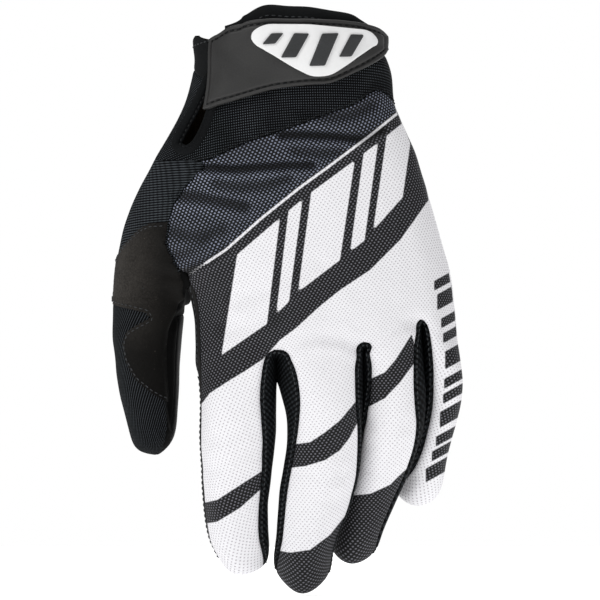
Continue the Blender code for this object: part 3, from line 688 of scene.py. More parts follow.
# Slanted bars between the two lines: start and end along the upper one, then the lower one
BAR_UPPER_LINE = ((229, 262), (268, 228), (308, 195), (333, 177), (378, 143), (404, 122))
BAR_LOWER_LINE = ((226, 352), (268, 323), (300, 290), (340, 260), (365, 240), (382, 220),
                  (420, 178))
SLANTED_BARS = (
    (0.05, 0.30, -0.02, 0.19),
    (0.35, 0.43, 0.24, 0.31),
    (0.48, 0.72, 0.36, 0.56),
    (0.77, 0.85, 0.61, 0.68),
    (0.90, 1.06, 0.73, 0.90),
)
# Dark stripes and tips, each on its own finger, counted from the index finger
FINGER_PRINTS = (
    (0, ((195, 504), (204, 503), (217, 500), (240, 485), (262, 471), (268, 466), (268, 484),
         (260, 490), (240, 508), (217, 522), (206, 524), (195, 524))),
    (1, ((270, 444), (284, 444), (294, 444), (310, 442), (325, 432), (340, 420), (355, 402),
         (362, 394), (372, 380), (372, 400), (356, 425), (350, 437), (340, 450), (325, 460),
         (305, 466), (288, 468), (270, 468))),
    (2, ((350, 382), (364, 380), (372, 378), (385, 372), (395, 360), (413, 332), (420, 322),
         (430, 310), (430, 340), (420, 354), (415, 362), (400, 382), (385, 398), (370, 406),
         (350, 409))),
    (1, ((260, 549), (278, 551), (290, 553), (310, 550), (330, 535), (342, 520), (356, 504),
         (370, 490), (370, 620), (260, 620))),
    (2, ((320, 500), (345, 497), (350, 496), (370, 494), (390, 485), (400, 475), (410, 466),
         (430, 446), (430, 600), (320, 600))),
)
# Slanted dashes down the little-finger side: middle across, drop, half height, half width
SIDE_DASHES = (
    (443, 281, 5, 9), (447, 297, 8, 10), (451, 318, 5, 10), (453, 333, 5, 10),
    (455, 355, 9, 10), (455, 378, 5, 11), (454, 393, 5, 11), (451, 414, 8, 11),
    (447, 436, 5, 11), (443, 451, 5, 11), (437, 470, 7, 11),
)
DASH_SLANT = 0.55
# Where the cloth turns away at the little-finger side, the print is followed round the turn
ROUND_LEFT = 0.028
ROUND_FOOT = -0.112
ROUND_START = 0.25
ROUND_REACH = 0.03

# A fold is a groove with a ridge beside it, which is lower on the side that faces up
FOLD_FACING = 1.6
RIDGE_HEIGHT = 0.55
RIDGE_UPPER = 0.35
RIDGE_PLACE = 1.5
RIDGE_WIDTH = 0.9
CLOTH_WAVES = ((45, (0, 0, 0), 0.0007), (120, (7, 3, 1), 0.00022))  # fineness, shift, height


def photo(x, y):
    """Photograph place as width and height in the glove's own frame, in metres."""
    return np.array(((x - PHOTO_CENTRE) * STEP, (PHOTO_TOP - y) * STEP))


def photo_line(line):
    return np.array([photo(x, y) for x, y in line])


def line_distance(spots, line, closed=False):
    """Distance of each spot to a line of points, and on which side of it the spot lies."""
    ends = list(zip(line, line[1:]))
    if closed:
        ends.append((line[-1], line[0]))
    best = np.full(len(spots), 1e9)
    side = np.zeros(len(spots))
    for a, b in ends:
        run = b - a
        share = np.clip((spots - a) @ run / (run @ run), 0, 1)
        gap = spots - a - share[:, None] * run
        far = np.hypot(gap[:, 0], gap[:, 1])
        turn = run[0] * gap[:, 1] - run[1] * gap[:, 0]
        side = np.where(far < best, np.sign(turn), side)
        best = np.minimum(best, far)
    return best, side


def area_depth(spots, outline):
    """How far inside a closed outline each spot lies, negative outside it."""
    inside = np.zeros(len(spots), bool)
    for a, b in zip(outline, np.roll(outline, -1, axis=0)):
        crosses = (a[1] > spots[:, 1]) != (b[1] > spots[:, 1])
        rise = b[1] - a[1] if b[1] != a[1] else 1e-12
        at_x = a[0] + (spots[:, 1] - a[1]) * (b[0] - a[0]) / rise
        inside ^= crosses & (spots[:, 0] < at_x)
    far, _ = line_distance(spots, outline, True)
    return np.where(inside, far, -far)


def along_line(line, share):
    steps = np.hypot(*np.diff(line, axis=0).T)
    run = np.concatenate(([0], np.cumsum(steps))) / steps.sum()
    k = min(max(int(np.searchsorted(run, share)) - 1, 0), len(line) - 2)
    local = (share - run[k]) / (run[k + 1] - run[k])
    return line[k] + (line[k + 1] - line[k]) * local


def print_depths(points, normals):
    """Depth inside the bluish heather and inside everything dark, and the way to the pin stripe."""
    spots = points[:, [0, 2]].copy()
    low_side = (points[:, 0] > ROUND_LEFT) & (points[:, 2] > ROUND_FOOT)
    spots[:, 0] += low_side * np.clip(normals[:, 1] + ROUND_START, 0, None) * ROUND_REACH
    heather = area_depth(spots, photo_line(HEATHER_AREA))
    dark = area_depth(spots, photo_line(DARK_AREA))
    upper, lower = photo_line(BAR_UPPER_LINE), photo_line(BAR_LOWER_LINE)
    for a, b, c, d in SLANTED_BARS:
        corners = np.array([along_line(upper, a), along_line(upper, b),
                            along_line(lower, d), along_line(lower, c)])
        dark = np.minimum(dark, -area_depth(spots, corners))
    dark = np.maximum(dark, heather)
    finger_number = finger_of(points)
    for number, outline in FINGER_PRINTS:
        depth = area_depth(spots, photo_line(outline))
        dark = np.where(finger_number == number, np.maximum(dark, depth), dark)
    for x, y, tall, wide in SIDE_DASHES:
        lean = DASH_SLANT * wide
        corners = photo_line(((x - wide, y - tall + lean), (x + wide, y - tall - lean),
                              (x + wide, y + tall - lean), (x - wide, y + tall + lean)))
        dark = np.maximum(dark, area_depth(spots, corners))
    pin, side = line_distance(spots, photo_line(PIN_STRIPE))
    return {"print_heather": heather, "print_dark": dark, "print_pin": pin * side}


def fold_heights(points, normals):
    """Height of the folds over the smooth outside."""
    spots = points[:, [0, 2]]
    height = np.zeros(len(points))
    for folds, way in ((FOLDS, -1), (PALM_FOLDS, 1)):
        facing = np.clip(way * normals[:, 1] * FOLD_FACING, 0, 1)
        for depth, width, line in folds:
            far, side = line_distance(spots, photo_line(line))
            share = far / (width / 1000)
            below = np.where(side < 0, 1.0, RIDGE_UPPER)
            ridge = np.exp(-((share - RIDGE_PLACE) / RIDGE_WIDTH) ** 2)
            height += facing * depth / 1000 * (
                RIDGE_HEIGHT * below * ridge - np.exp(-(share**2)))
    return height


def cloth_waves(points):
    """The cloth's slight unevenness."""
    return sum(
        np.array([noise.noise(Vector(p) * fine + Vector(shift)) for p in points]) * height
        for fine, shift, height in CLOTH_WAVES)


def finger_of(points):
    """Which finger's middle line each point lies nearest to, from the index finger on."""
    gaps = []
    for rows, tip, _, _ in FINGERS:
        line = np.array([tuple(c) for c in middle_line(rows, tip)[0]])
        best = np.full(len(points), 1.0)
        for a, b in zip(line, line[1:]):
            share = np.clip((points - a) @ (b - a) / ((b - a) @ (b - a)), 0, 1)
            best = np.minimum(best, np.linalg.norm(points - a - share[:, None] * (b - a), axis=1))
        gaps.append(best)
    return np.argmin(gaps, axis=0)


class Skin:
    """The glove's whole outside, smoothed and folded, as arrays."""

    def __init__(self):
        mesh, self.names = rounded_net(glove_net(), SMOOTHING)
        count = len(mesh.vertices)
        self.points = np.empty(count * 3)
        mesh.vertices.foreach_get("co", self.points)
        self.points = self.points.reshape(-1, 3)
        self.normals = np.array([tuple(v.normal) for v in mesh.vertices])
        self.faces = np.array([tuple(p.vertices) for p in mesh.polygons])
        self.owners = np.array([p.material_index for p in mesh.polygons])
        self.folds = fold_heights(self.points, self.normals)
        self.points += self.normals * (self.folds + cloth_waves(self.points))[:, None]
        self.tree = BVHTree.FromPolygons(self.points.tolist(), self.faces.tolist())
        thumb_faces = np.concatenate((self.own("thumb_shell"), self.own("thumb_inner_strip")))
        self.thumb_tree = BVHTree.FromPolygons(self.points.tolist(), thumb_faces.tolist())

    def own(self, name):
        return self.faces[self.owners == self.names.index(name)]

    def seam_points(self, name, rim):
        """Rim points where the piece is sewn down to another, and those at an open edge."""
        sewn, joined = np.zeros(len(rim), bool), np.zeros(len(rim), bool)
        for other in self.names:
            if other == name:
                continue
            shared = np.isin(rim, self.own(other))
            joined |= shared
            if tuple(sorted((name, other))) not in LEVEL_SEAMS:
                sewn |= shared
        return rim[sewn], rim[~joined]


def nearest(points, ends):
    """Distance of each point to the nearest of some others."""
    if not len(ends):
        return np.full(len(points), 1.0)
    tree = KDTree(len(ends))
    for k, end in enumerate(ends):
        tree.insert(end, k)
    tree.balance()
    return np.array([tree.find(p)[2] for p in points])


def tip_share(points):
    """Share of a seam's depth that is kept; it runs out over the fingertips."""
    share = np.ones(len(points))
    for tip in (*(finger_data[1] for finger_data in FINGERS), THUMB_TIP):
        far = np.linalg.norm(points - np.array(tuple(at(*tip))), axis=1)
        kept = np.clip((far - TIP_SEAM_START) / TIP_SEAM_REACH, TIP_SEAM_LEAST, 1)
        share = np.minimum(share, kept)
    return share


def rim_of(faces):
    """Edges along the border of these faces, in the order in which the faces run."""
    ends = np.stack((faces, np.roll(faces, -1, axis=1)), axis=2).reshape(-1, 2)
    there = set(map(tuple, ends.tolist()))
    return [(a, b) for a, b in there if (b, a) not in there]


def rim_ways(skin, faces, edges):
    rim = {}
    for a, b in edges:
        rim.setdefault(a, []).append(b)
        rim.setdefault(b, []).append(a)
    touching = faces[np.isin(faces, list(rim)).any(axis=1)]
    points = {k: Vector(skin.points[k]) for k in set(touching.ravel().tolist()) | set(rim)}
    normals = {k: Vector(skin.normals[k]) for k in rim}
    return inward(points, normals, [tuple(f) for f in touching.tolist()], rim)


def flat_map(points, faces):
    """Cloth coordinates in metres: the piece laid flat, then turned as it is seen in front."""
    mesh = bpy.data.meshes.new("flat")
    mesh.from_pydata(points.tolist(), [], faces.tolist())
    holder = placed("flat", mesh)
    bpy.context.view_layer.objects.active = holder
    bpy.ops.object.mode_set(mode="EDIT")
    bpy.ops.mesh.select_all(action="SELECT")
    bpy.ops.uv.unwrap(method="ANGLE_BASED", margin=0)
    bpy.ops.object.mode_set(mode="OBJECT")
    layer = mesh.uv_layers[0]
    flat = np.empty(len(mesh.loops) * 2)
    layer.data.foreach_get("uv", flat)
    corner = np.empty(len(mesh.loops), int)
    mesh.loops.foreach_get("vertex_index", corner)
    spot = np.zeros((len(points), 2))
    spot[corner] = flat.reshape(-1, 2)
    normals = np.array([tuple(v.normal) for v in mesh.vertices])
    bpy.data.objects.remove(holder, do_unlink=True)
    seen = normals[:, 1] < SEEN_FACING
    if seen.sum() < SEEN_LEAST:
        seen[:] = True
    source = spot[seen] - spot[seen].mean(axis=0)
    wanted = points[seen][:, [0, 2]] - points[seen][:, [0, 2]].mean(axis=0)
    u, s, v = np.linalg.svd(source.T @ wanted)
    scale = s.sum() / (source**2).sum()
    return (spot - spot[seen].mean(axis=0)) @ (u @ v) * scale


def wrist_map(points):
    """Cloth coordinates in metres round the wrist."""
    angle = np.arctan2(points[:, 0], -points[:, 1])
    return np.stack((angle * WRIST_RADIUS, points[:, 2]), axis=1)


def thumb_map(points):
    """Cloth coordinates in metres round the thumb's middle line."""
    centres, _ = middle_line(THUMB_ROWS, THUMB_TIP)
    high = [-c.z for c in centres]
    across = np.interp(-points[:, 2], high, [c.x for c in centres])
    deep = np.interp(-points[:, 2], high, [c.y for c in centres])
    angle = np.arctan2(points[:, 0] - across, -(points[:, 1] - deep))
    return np.stack((angle * THUMB_RADIUS, points[:, 2]), axis=1)


def set_map(mesh, spot, count, round_length=None):
    """Writes cloth coordinates on both walls; a face across the joining line is kept whole."""
    layer = mesh.uv_layers.new(name="cloth")
    corner = np.empty(len(mesh.loops), int)
    mesh.loops.foreach_get("vertex_index", corner)
    flat = spot[corner % count].copy()
    if round_length:
        for face in mesh.polygons:
            loops = list(face.loop_indices)
            own = flat[loops, 0]
            if own.max() - own.min() > round_length / 2:
                flat[loops, 0] = np.where(own < 0, own + round_length, own)
    layer.data.foreach_set("uv", flat.ravel())


def set_value(mesh, name, values, count):
    whole = np.tile(values, len(mesh.vertices) // count)
    field = mesh.attributes.new(name, "FLOAT", "POINT")
    field.data.foreach_set("value", whole.astype(np.float32))


def new_piece(name, points, faces, *materials):
    """A closed mesh object with its faces turned outwards."""
    mesh = bpy.data.meshes.new(name)
    mesh.from_pydata([tuple(p) for p in points], [], [tuple(f) for f in faces])
    shell = bmesh.new()
    shell.from_mesh(mesh)
    bmesh.ops.recalc_face_normals(shell, faces=shell.faces)
    shell.to_mesh(mesh)
    shell.free()
    for material in materials:
        mesh.materials.append(material)
    mesh.polygons.foreach_set("use_smooth", [True] * len(mesh.polygons))
    return placed(name, mesh)


def baked(piece):
    """The piece with its modifiers made part of a plain mesh."""
    graph = bpy.context.evaluated_depsgraph_get()
    graph.update()
    mesh = bpy.data.meshes.new_from_object(piece.evaluated_get(graph))
    piece.modifiers.clear()
    piece.data = mesh
    mesh.name = piece.name
    return piece


def wear(piece, slot, *nodes):
    """Binds a finished piece to the glove's one body, and lets it stand for these solids."""
    if nodes:
        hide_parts(*nodes)
    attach(piece, "root")
    return piece


def cloth(skin, solid, outer_look, inner_look):
    """One sewn panel: its outside, its inner wall and the turned-down edge between them."""
    name, wall, roll, drop = CLOTH[solid]
    faces = skin.own(solid)
    edges = rim_of(faces)
    ways = rim_ways(skin, faces, edges)
    used = np.unique(faces)
    place = np.full(len(skin.points), -1)
    place[used] = np.arange(len(used))
    outer = skin.points[used].copy()
    rim = np.array(sorted(ways))
    inner = outer - skin.normals[used] * wall
    for k, spot in enumerate(inner):
        near, normal, _, _ = skin.tree.find_nearest(spot)
        if (Vector(spot) - near).dot(normal) > -INNER_CLEARANCE * wall:
            inner[k] = outer[k] + (spot - outer[k]) * INNER_AT_CREASE
    sewn, loose = skin.seam_points(solid, rim)
    turned = np.zeros(len(used))
    for ends, (reach, depth) in ((sewn, (roll, drop)), (loose, OPEN_EDGE)):
        far = nearest(outer, skin.points[ends])
        turned = np.maximum(turned, depth * np.clip(1 - far / reach, 0, 1) ** 2)
    outer -= skin.normals[used] * (turned * tip_share(outer))[:, None]
    for k in rim:
        shift = np.array(ways[int(k)]) * SEAM_GAP / 2
        outer[place[k]] += shift
        inner[place[k]] += shift
    flat = place[faces]
    n = len(used)
    closing = [(place[b], place[a], place[a] + n, place[b] + n) for a, b in edges]
    made = flat.tolist() + (flat[:, ::-1] + n).tolist() + [[int(k) for k in f] for f in closing]
    piece = new_piece(name, np.concatenate((outer, inner)), made, outer_look, inner_look)
    inside = [0] * len(flat) + [1] * len(flat) + [0] * len(closing)
    piece.data.polygons.foreach_set("material_index", inside)
    if solid == "cuff":
        set_map(piece.data, wrist_map(outer), n, math.tau * WRIST_RADIUS)
    elif solid in ("thumb_shell", "thumb_inner_strip"):
        set_map(piece.data, thumb_map(outer), n, math.tau * THUMB_RADIUS)
    else:
        set_map(piece.data, flat_map(outer, flat), n)
    if solid == "back_panel":
        for field, depths in print_depths(outer, skin.normals[used]).items():
            set_value(piece.data, field, depths, n)
        # The fold heights also drive the painted light and shade on the mesh's threads
        set_value(piece.data, "fold_height", skin.folds[used] * 1000, n)
    return piece


# Finishes

def feed(tree, socket, value):
    """Links a socket to another node's value, or sets it to a constant."""
    if isinstance(value, bpy.types.NodeSocket):
        tree.links.new(value, socket)
    else:
        socket.default_value = (*value, 1) if socket.type == "RGBA" else value


def node(tree, kind, inputs=None, **settings):
    made = tree.nodes.new(kind)
    for key, value in settings.items():
        setattr(made, key, value)
    for key, value in (inputs or {}).items():
        feed(tree, made.inputs[key], value)
    return made


def maths(tree, operation, *values):
    return node(tree, "ShaderNodeMath", dict(enumerate(values)), operation=operation).outputs[0]


def times(tree, first, second):
    return maths(tree, "MULTIPLY", first, second)


def plus(tree, first, second):
    return maths(tree, "ADD", first, second)


def mixed(tree, share, first, second):
    """Colour between two colours."""
    made = node(tree, "ShaderNodeMix", {"Factor": share}, data_type="RGBA")
    feed(tree, made.inputs[6], first)
    feed(tree, made.inputs[7], second)
    return made.outputs[2]


def stepped(tree, value, low, high, to_low=0.0, to_high=1.0):
    made = node(tree, "ShaderNodeMapRange", {
        "Value": value, "From Min": low, "From Max": high, "To Min": to_low, "To Max": to_high})
    return made.outputs["Result"]


def grain(tree, where, scale, detail=3.0, roughness=0.6):
    made = node(tree, "ShaderNodeTexNoise", {
        "Vector": where, "Scale": scale, "Detail": detail, "Roughness": roughness})
    return made.outputs["Fac"]


class Finish:
    """A new material with its shader, its cloth map and its object coordinates at hand."""

    def __init__(self, name, roughness, specular=0.12, sheen=0.0, sheen_roughness=0.5):
        self.material = bpy.data.materials.new(name)
        self.material.use_nodes = True
        self.tree = self.material.node_tree
        self.shader = self.tree.nodes["Principled BSDF"]
        for socket, value in (("Roughness", roughness), ("Specular IOR Level", specular),
                              ("Sheen Weight", sheen), ("Sheen Roughness", sheen_roughness)):
            self.shader.inputs[socket].default_value = value
        self.solid = node(self.tree, "ShaderNodeTexCoord").outputs["Object"]

    def cloth_map(self, turn=0.0):
        """Across and along the cloth, in millimetres, after a turn in degrees."""
        cloth_spot = node(self.tree, "ShaderNodeUVMap", uv_map="cloth").outputs["UV"]
        turned = node(self.tree, "ShaderNodeMapping", {
            "Vector": cloth_spot, "Rotation": (0, 0, math.radians(turn)),
            "Scale": (1000, 1000, 1000)})
        parts = node(self.tree, "ShaderNodeSeparateXYZ", {"Vector": turned.outputs[0]})
        return parts.outputs[0], parts.outputs[1]

    def field(self, name):
        """A value that the mesh holds for every point."""
        return node(self.tree, "ShaderNodeAttribute", attribute_name=name).outputs["Fac"]

    def wave(self, along, pitch):
        return maths(self.tree, "COSINE", times(self.tree, along, math.tau / pitch))

    def colour(self, value):
        feed(self.tree, self.shader.inputs["Base Color"], value)

    def rough(self, value):
        feed(self.tree, self.shader.inputs["Roughness"], value)

    def raised(self, *layers):
        """Bump from heights in millimetres, the broadest one first."""
        normal = None
        for height, millimetres in layers:
            inputs = {"Height": height, "Distance": millimetres / 1000, "Strength": 1.0}
            if normal:
                inputs["Normal"] = normal
            normal = node(self.tree, "ShaderNodeBump", inputs).outputs["Normal"]
        self.tree.links.new(normal, self.shader.inputs["Normal"])


def grey(level, warm=0.0):
    """A grey, from its brightness in the photograph, with a little warmth or, below 0, blue."""
    base = ((level / 255 + 0.055) / 1.055) ** 2.4 if level > 10 else level / 255 / 12.92
    return (base * (1 + warm), base, base * (1 - warm))


MESH_PITCH = (1.40, 1.64)  # millimetres between the mesh's eyelets, across and down
MESH_TURN = -9
PRINT_BLUR = 0.00016


def mesh_finish():
    """White knitted mesh with staggered eyelets, printed dark; light threads show in the dark, with
    painted light and shade on the folds.
    """
    look = Finish("printed_mesh", 0.72, 0.15)
    tree = look.tree
    across, down = look.cloth_map(MESH_TURN)
    wide, tall = MESH_PITCH
    lattice = times(tree, look.wave(across, wide), look.wave(down, tall))
    rows = look.wave(down, tall / 2)
    lattice = plus(tree, lattice, times(tree, rows, 0.22))
    uneven = grain(tree, look.solid, 900, 2.0)
    cloud = grain(tree, look.solid, 38, 2.0)
    fuzzy = plus(tree, lattice, times(tree, uneven, 0.6))
    thread = stepped(tree, fuzzy, 0.50, 1.15)
    eyelet = stepped(tree, lattice, 0.45, 1.05)
    # Painted light and shade of the folds: the threads are painted lighter on the ridges and darker
    # in the grooves
    painted_fold_shading = maths(tree, "POWER", 3.0, look.field("fold_height"))
    thread = times(tree, thread, painted_fold_shading)
    blue = mixed(tree, thread, grey(17, -0.05), (0.260, 0.285, 0.370))
    blue = mixed(tree, stepped(tree, cloud, 0.35, 0.7, 0.0, 0.35), blue, grey(22, -0.1))
    black = mixed(tree, thread, grey(21, -0.02), (0.150, 0.150, 0.170))
    white = mixed(tree, eyelet, (0.83, 0.825, 0.85), (0.43, 0.405, 0.43))
    heather, dark = look.field("print_heather"), look.field("print_dark")
    pin = look.field("print_pin")
    beside = maths(tree, "SUBTRACT", maths(tree, "ABSOLUTE", pin), PIN_STRIPE_WIDTH / 2)
    inked = mixed(tree, stepped(tree, heather, -PRINT_BLUR, PRINT_BLUR), black, blue)
    covered = maths(tree, "MINIMUM", dark, beside)
    look.colour(mixed(tree, stepped(tree, covered, -PRINT_BLUR, PRINT_BLUR), white, inked))
    look.rough(stepped(tree, eyelet, 0, 1, 0.68, 0.9))
    look.raised((cloud, 0.25), (lattice, 0.05))
    return look.material


KNIT_ROW = 0.92  # millimetres between the knit's rows, and between its columns
KNIT_COLUMN = 0.84


def knit_finish():
    """Black ribbed knit with fine rows of lighter threads."""
    look = Finish("black_knit", 0.8, 0.05)
    tree = look.tree
    across, down = look.cloth_map(-4)
    squared = maths(tree, "POWER", times(tree, across, 0.02), 2.0)
    down = plus(tree, down, times(tree, squared, 6.0))
    rows = plus(tree, look.wave(down, KNIT_ROW), 0.55)
    lattice = times(tree, rows, plus(tree, look.wave(across, KNIT_COLUMN), 0.75))
    thread = stepped(tree, lattice, 0.6, 2.4)
    cloud = grain(tree, look.solid, 60, 2.0)
    light = mixed(tree, stepped(tree, cloud, 0.3, 0.75), grey(64, -0.12), grey(98, -0.12))
    look.colour(mixed(tree, thread, grey(6, -0.1), light))
    look.raised((cloud, 0.2), (lattice, 0.05))
    return look.material


RIB_PITCH = 0.98
RIB_TURN = 25
ROOT_HEIGHT = -0.0855  # above it the thumb's cloth is knitted in rows
ROOT_BLUR = 0.0006
STRIP_START = 7.2  # millimetres round the thumb at which its smooth inner side starts


def ribbed_finish():
    """Black stretch cloth: steep ribs on the thumb, knit rows at its root, a smooth inner side."""
    look = Finish("ribbed_stretch", 0.75, 0.05)
    tree = look.tree
    across, down = look.cloth_map()
    lean, rise = math.cos(math.radians(RIB_TURN)), math.sin(math.radians(RIB_TURN))
    steep = maths(tree, "SUBTRACT", times(tree, across, lean),
                  times(tree, down, rise))
    level = plus(tree, down, times(tree, across, -0.16))
    height = node(tree, "ShaderNodeSeparateXYZ", {"Vector": look.solid}).outputs[2]
    root = stepped(tree, height, ROOT_HEIGHT - ROOT_BLUR, ROOT_HEIGHT + ROOT_BLUR)
    ribs = look.wave(steep, RIB_PITCH)
    threads = look.wave(down, 0.55)
    knitted = plus(tree, ribs, times(tree, threads, 0.25))
    columns = times(tree, look.wave(across, KNIT_COLUMN), 0.5)
    rows = times(tree, plus(tree, look.wave(level, KNIT_ROW), 0.6),
                 plus(tree, columns, 1.0))
    whole = node(tree, "ShaderNodeMix", {"Factor": root, "A": knitted, "B": rows}).outputs[0]
    cloud = grain(tree, look.solid, 55, 2.0)
    light = mixed(tree, cloud, grey(58, -0.12), grey(82, -0.12))
    cloth_colour = mixed(tree, stepped(tree, whole, 0.1, 1.4), grey(4, -0.1), light)
    inner = times(tree, stepped(tree, across, STRIP_START, STRIP_START + 0.1),
                  maths(tree, "SUBTRACT", 1.0, root))
    look.colour(mixed(tree, inner, cloth_colour, grey(11)))
    look.raised((times(tree, whole, maths(tree, "SUBTRACT", 1.0, inner)), 0.10))
    return look.material


def suede_finish():
    """Dark brownish synthetic suede, brushed unevenly, with painted shade towards the hand and the
    lower end.
    """
    look = Finish("dark_suede", 0.95, 0.05, 0.03, 0.6)
    tree = look.tree
    nap = grain(tree, look.solid, 1500, 4.0, 0.8)
    cloud = grain(tree, look.solid, 60, 3.0)
    speck = stepped(tree, grain(tree, look.solid, 1100, 2.0), 0.70, 0.78)
    place = node(tree, "ShaderNodeSeparateXYZ", {"Vector": look.solid})
    # Painted shade: the suede darkens towards the hand side of the thumb and towards its lower end,
    # and keeps its full colour at the upper outer side
    painted_light_share = times(tree, stepped(tree, place.outputs[0], -0.062, -0.046, 1.0, 0.15),
                 stepped(tree, place.outputs[2], -0.118, -0.098, 0.15, 1.0))
    base = mixed(tree, stepped(tree, cloud, 0.3, 0.7), grey(22, 0.08), grey(46, 0.10))
    base = mixed(tree, stepped(tree, nap, 0.35, 0.7, 0, 0.6), base, grey(74, 0.10))
    base = mixed(tree, painted_light_share, grey(10, 0.05), base)
    look.colour(mixed(tree, times(tree, speck, 0.3), base, grey(100, 0.15)))
    look.raised((cloud, 0.25), (nap, 0.06))
    return look.material


def leather_finish():
    """Matte black synthetic leather with a fine pebble grain."""
    look = Finish("black_leather", 0.6, 0.14)
    tree = look.tree
    pebble = node(tree, "ShaderNodeTexVoronoi", {"Vector": look.solid, "Scale": 1100},
                  feature="SMOOTH_F1").outputs["Distance"]
    cloud = grain(tree, look.solid, 45, 3.0)
    look.colour(mixed(tree, stepped(tree, cloud, 0.3, 0.7), grey(16, 0.02), grey(30, 0.02)))
    look.rough(stepped(tree, cloud, 0.3, 0.7, 0.52, 0.7))
    look.raised((cloud, 0.3), (pebble, 0.08))
    return look.material


def stretch_finish():
    """Blue-black stretch cloth of the finger sides, finely ribbed along the finger."""
    look = Finish("black_stretch", 0.7, 0.06)
    tree = look.tree
    across, down = look.cloth_map()
    ribs = look.wave(across, 0.55)
    loops = look.wave(down, 0.7)
    knitted = plus(tree, ribs, times(tree, loops, 0.6))
    cloud = grain(tree, look.solid, 90, 2.0)
    light = mixed(tree, cloud, grey(30, -0.12), grey(48, -0.14))
    look.colour(mixed(tree, stepped(tree, knitted, -0.4, 1.3), grey(5, -0.1), light))
    look.raised((cloud, 0.25), (knitted, 0.04))
    return look.material


def plain_finish(name, dark, light, roughness, warm=0.0, scale=900, bump=0.05, specular=0.15):
    """Smooth cloth, thread or rubber with a fine even grain."""
    look = Finish(name, roughness, specular)
    tree = look.tree
    fine = grain(tree, look.solid, scale, 3.0, 0.7)
    cloud = grain(tree, look.solid, 70, 2.0)
    share = plus(tree, times(tree, fine, 0.5),
                  times(tree, cloud, 0.5))
    look.colour(mixed(tree, stepped(tree, share, 0.3, 0.7), grey(dark, warm), grey(light, warm)))
    look.rough(stepped(tree, cloud, 0.3, 0.7, roughness - 0.06, roughness + 0.06))
    look.raised((cloud, 0.15), (fine, bump))
    return look.material


# Stitches

def stitch_maker(material):
    """Geometry nodes that lay short rounded stitches along the lines of a mesh."""
    tree = bpy.data.node_groups.new("stitch_row", "GeometryNodeTree")
    face = tree.interface
    face.new_socket("Lines", in_out="INPUT", socket_type="NodeSocketGeometry")
    for name, size in (("Pitch", 0.002), ("Stitch Length", 0.0014), ("Thickness", 0.0005)):
        face.new_socket(name, in_out="INPUT", socket_type="NodeSocketFloat").default_value = size
    face.new_socket("Stitches", in_out="OUTPUT", socket_type="NodeSocketGeometry")
    enter, leave = node(tree, "NodeGroupInput"), node(tree, "NodeGroupOutput")
    curve = node(tree, "GeometryNodeMeshToCurve", {"Mesh": enter.outputs["Lines"]})
    spaced = node(tree, "GeometryNodeResampleCurve", {
        "Curve": curve.outputs["Curve"], "Length": enter.outputs["Pitch"]}, mode="LENGTH")
    bead = node(tree, "GeometryNodeMeshUVSphere", {"Segments": 8, "Rings": 5, "Radius": 0.5})
    tangent = node(tree, "GeometryNodeInputTangent")
    turn = node(tree, "FunctionNodeAlignRotationToVector",
                {"Vector": tangent.outputs["Tangent"]}, axis="X")
    size = node(tree, "ShaderNodeCombineXYZ", {
        "X": enter.outputs["Stitch Length"], "Y": enter.outputs["Thickness"],
        "Z": enter.outputs["Thickness"]})
    laid = node(tree, "GeometryNodeInstanceOnPoints", {
        "Points": spaced.outputs["Curve"], "Instance": bead.outputs["Mesh"],
        "Rotation": turn.outputs["Rotation"], "Scale": size.outputs["Vector"]})
    real = node(tree, "GeometryNodeRealizeInstances", {"Geometry": laid.outputs["Instances"]})
    smooth = node(tree, "GeometryNodeSetShadeSmooth", {"Geometry": real.outputs["Geometry"]})
    coloured = node(tree, "GeometryNodeSetMaterial",
                    {"Geometry": smooth.outputs[0], "Material": material})
    tree.links.new(coloured.outputs["Geometry"], leave.inputs["Stitches"])
    return tree


def stitch_row(name, points, edges, material, pitch, length, thickness):
    mesh = bpy.data.meshes.new(name)
    mesh.from_pydata([tuple(p) for p in points], edges, [])
    made = placed(name, mesh)
    tree = stitch_maker(material)
    rows = made.modifiers.new("stitches", "NODES")
    rows.node_group = tree
    sizes = {"Pitch": pitch, "Stitch Length": length, "Thickness": thickness}
    for socket in tree.interface.items_tree:
        if socket.in_out == "INPUT" and socket.name in sizes:
            rows[socket.identifier] = sizes[socket.name]
    return baked(made)


def seam_line(skin, node_name, neighbours, inset, lift):
    """Points and edges of a line on one piece, this far from its seams with its neighbours."""
    faces = skin.own(node_name)
    edges = rim_of(faces)
    ways = rim_ways(skin, faces, edges)
    if neighbours is None:
        others = set(skin.faces.ravel().tolist())
        shared = np.concatenate([skin.own(n) for n in skin.names if n != node_name])
        others -= set(shared.ravel().tolist())
    else:
        others = set(np.concatenate([skin.own(n) for n in neighbours]).ravel().tolist())
    points, index, kept = [], {}, []
    for a, b in edges:
        if a not in others or b not in others:
            continue
        for k in (a, b):
            if k not in index:
                index[k] = len(points)
                spot = Vector(skin.points[k]) + ways[k] * inset
                near, normal, _, _ = skin.tree.find_nearest(spot)
                if normal.dot(Vector(skin.normals[k])) < 0:
                    normal = -normal
                points.append(near + normal * lift)
        kept.append((index[a], index[b]))
    return points, kept


def smooth_line(line, steps):
    """Evenly rounded line through these points."""
    line = np.asarray(line, float)
    ends = np.vstack((2 * line[0] - line[1], line, 2 * line[-1] - line[-2]))
    out = []
    for k in range(1, len(ends) - 2):
        a, b, c, d = ends[k - 1 : k + 3]
        for step in range(steps):
            t = step / steps
            out.append(0.5 * (2 * b + (c - a) * t + (2 * a - 5 * b + 4 * c - d) * t**2
                              + (3 * b - a - 3 * c + d) * t**3))
    out.append(line[-1])
    return np.array(out)


# Strap, plate, patches and edging

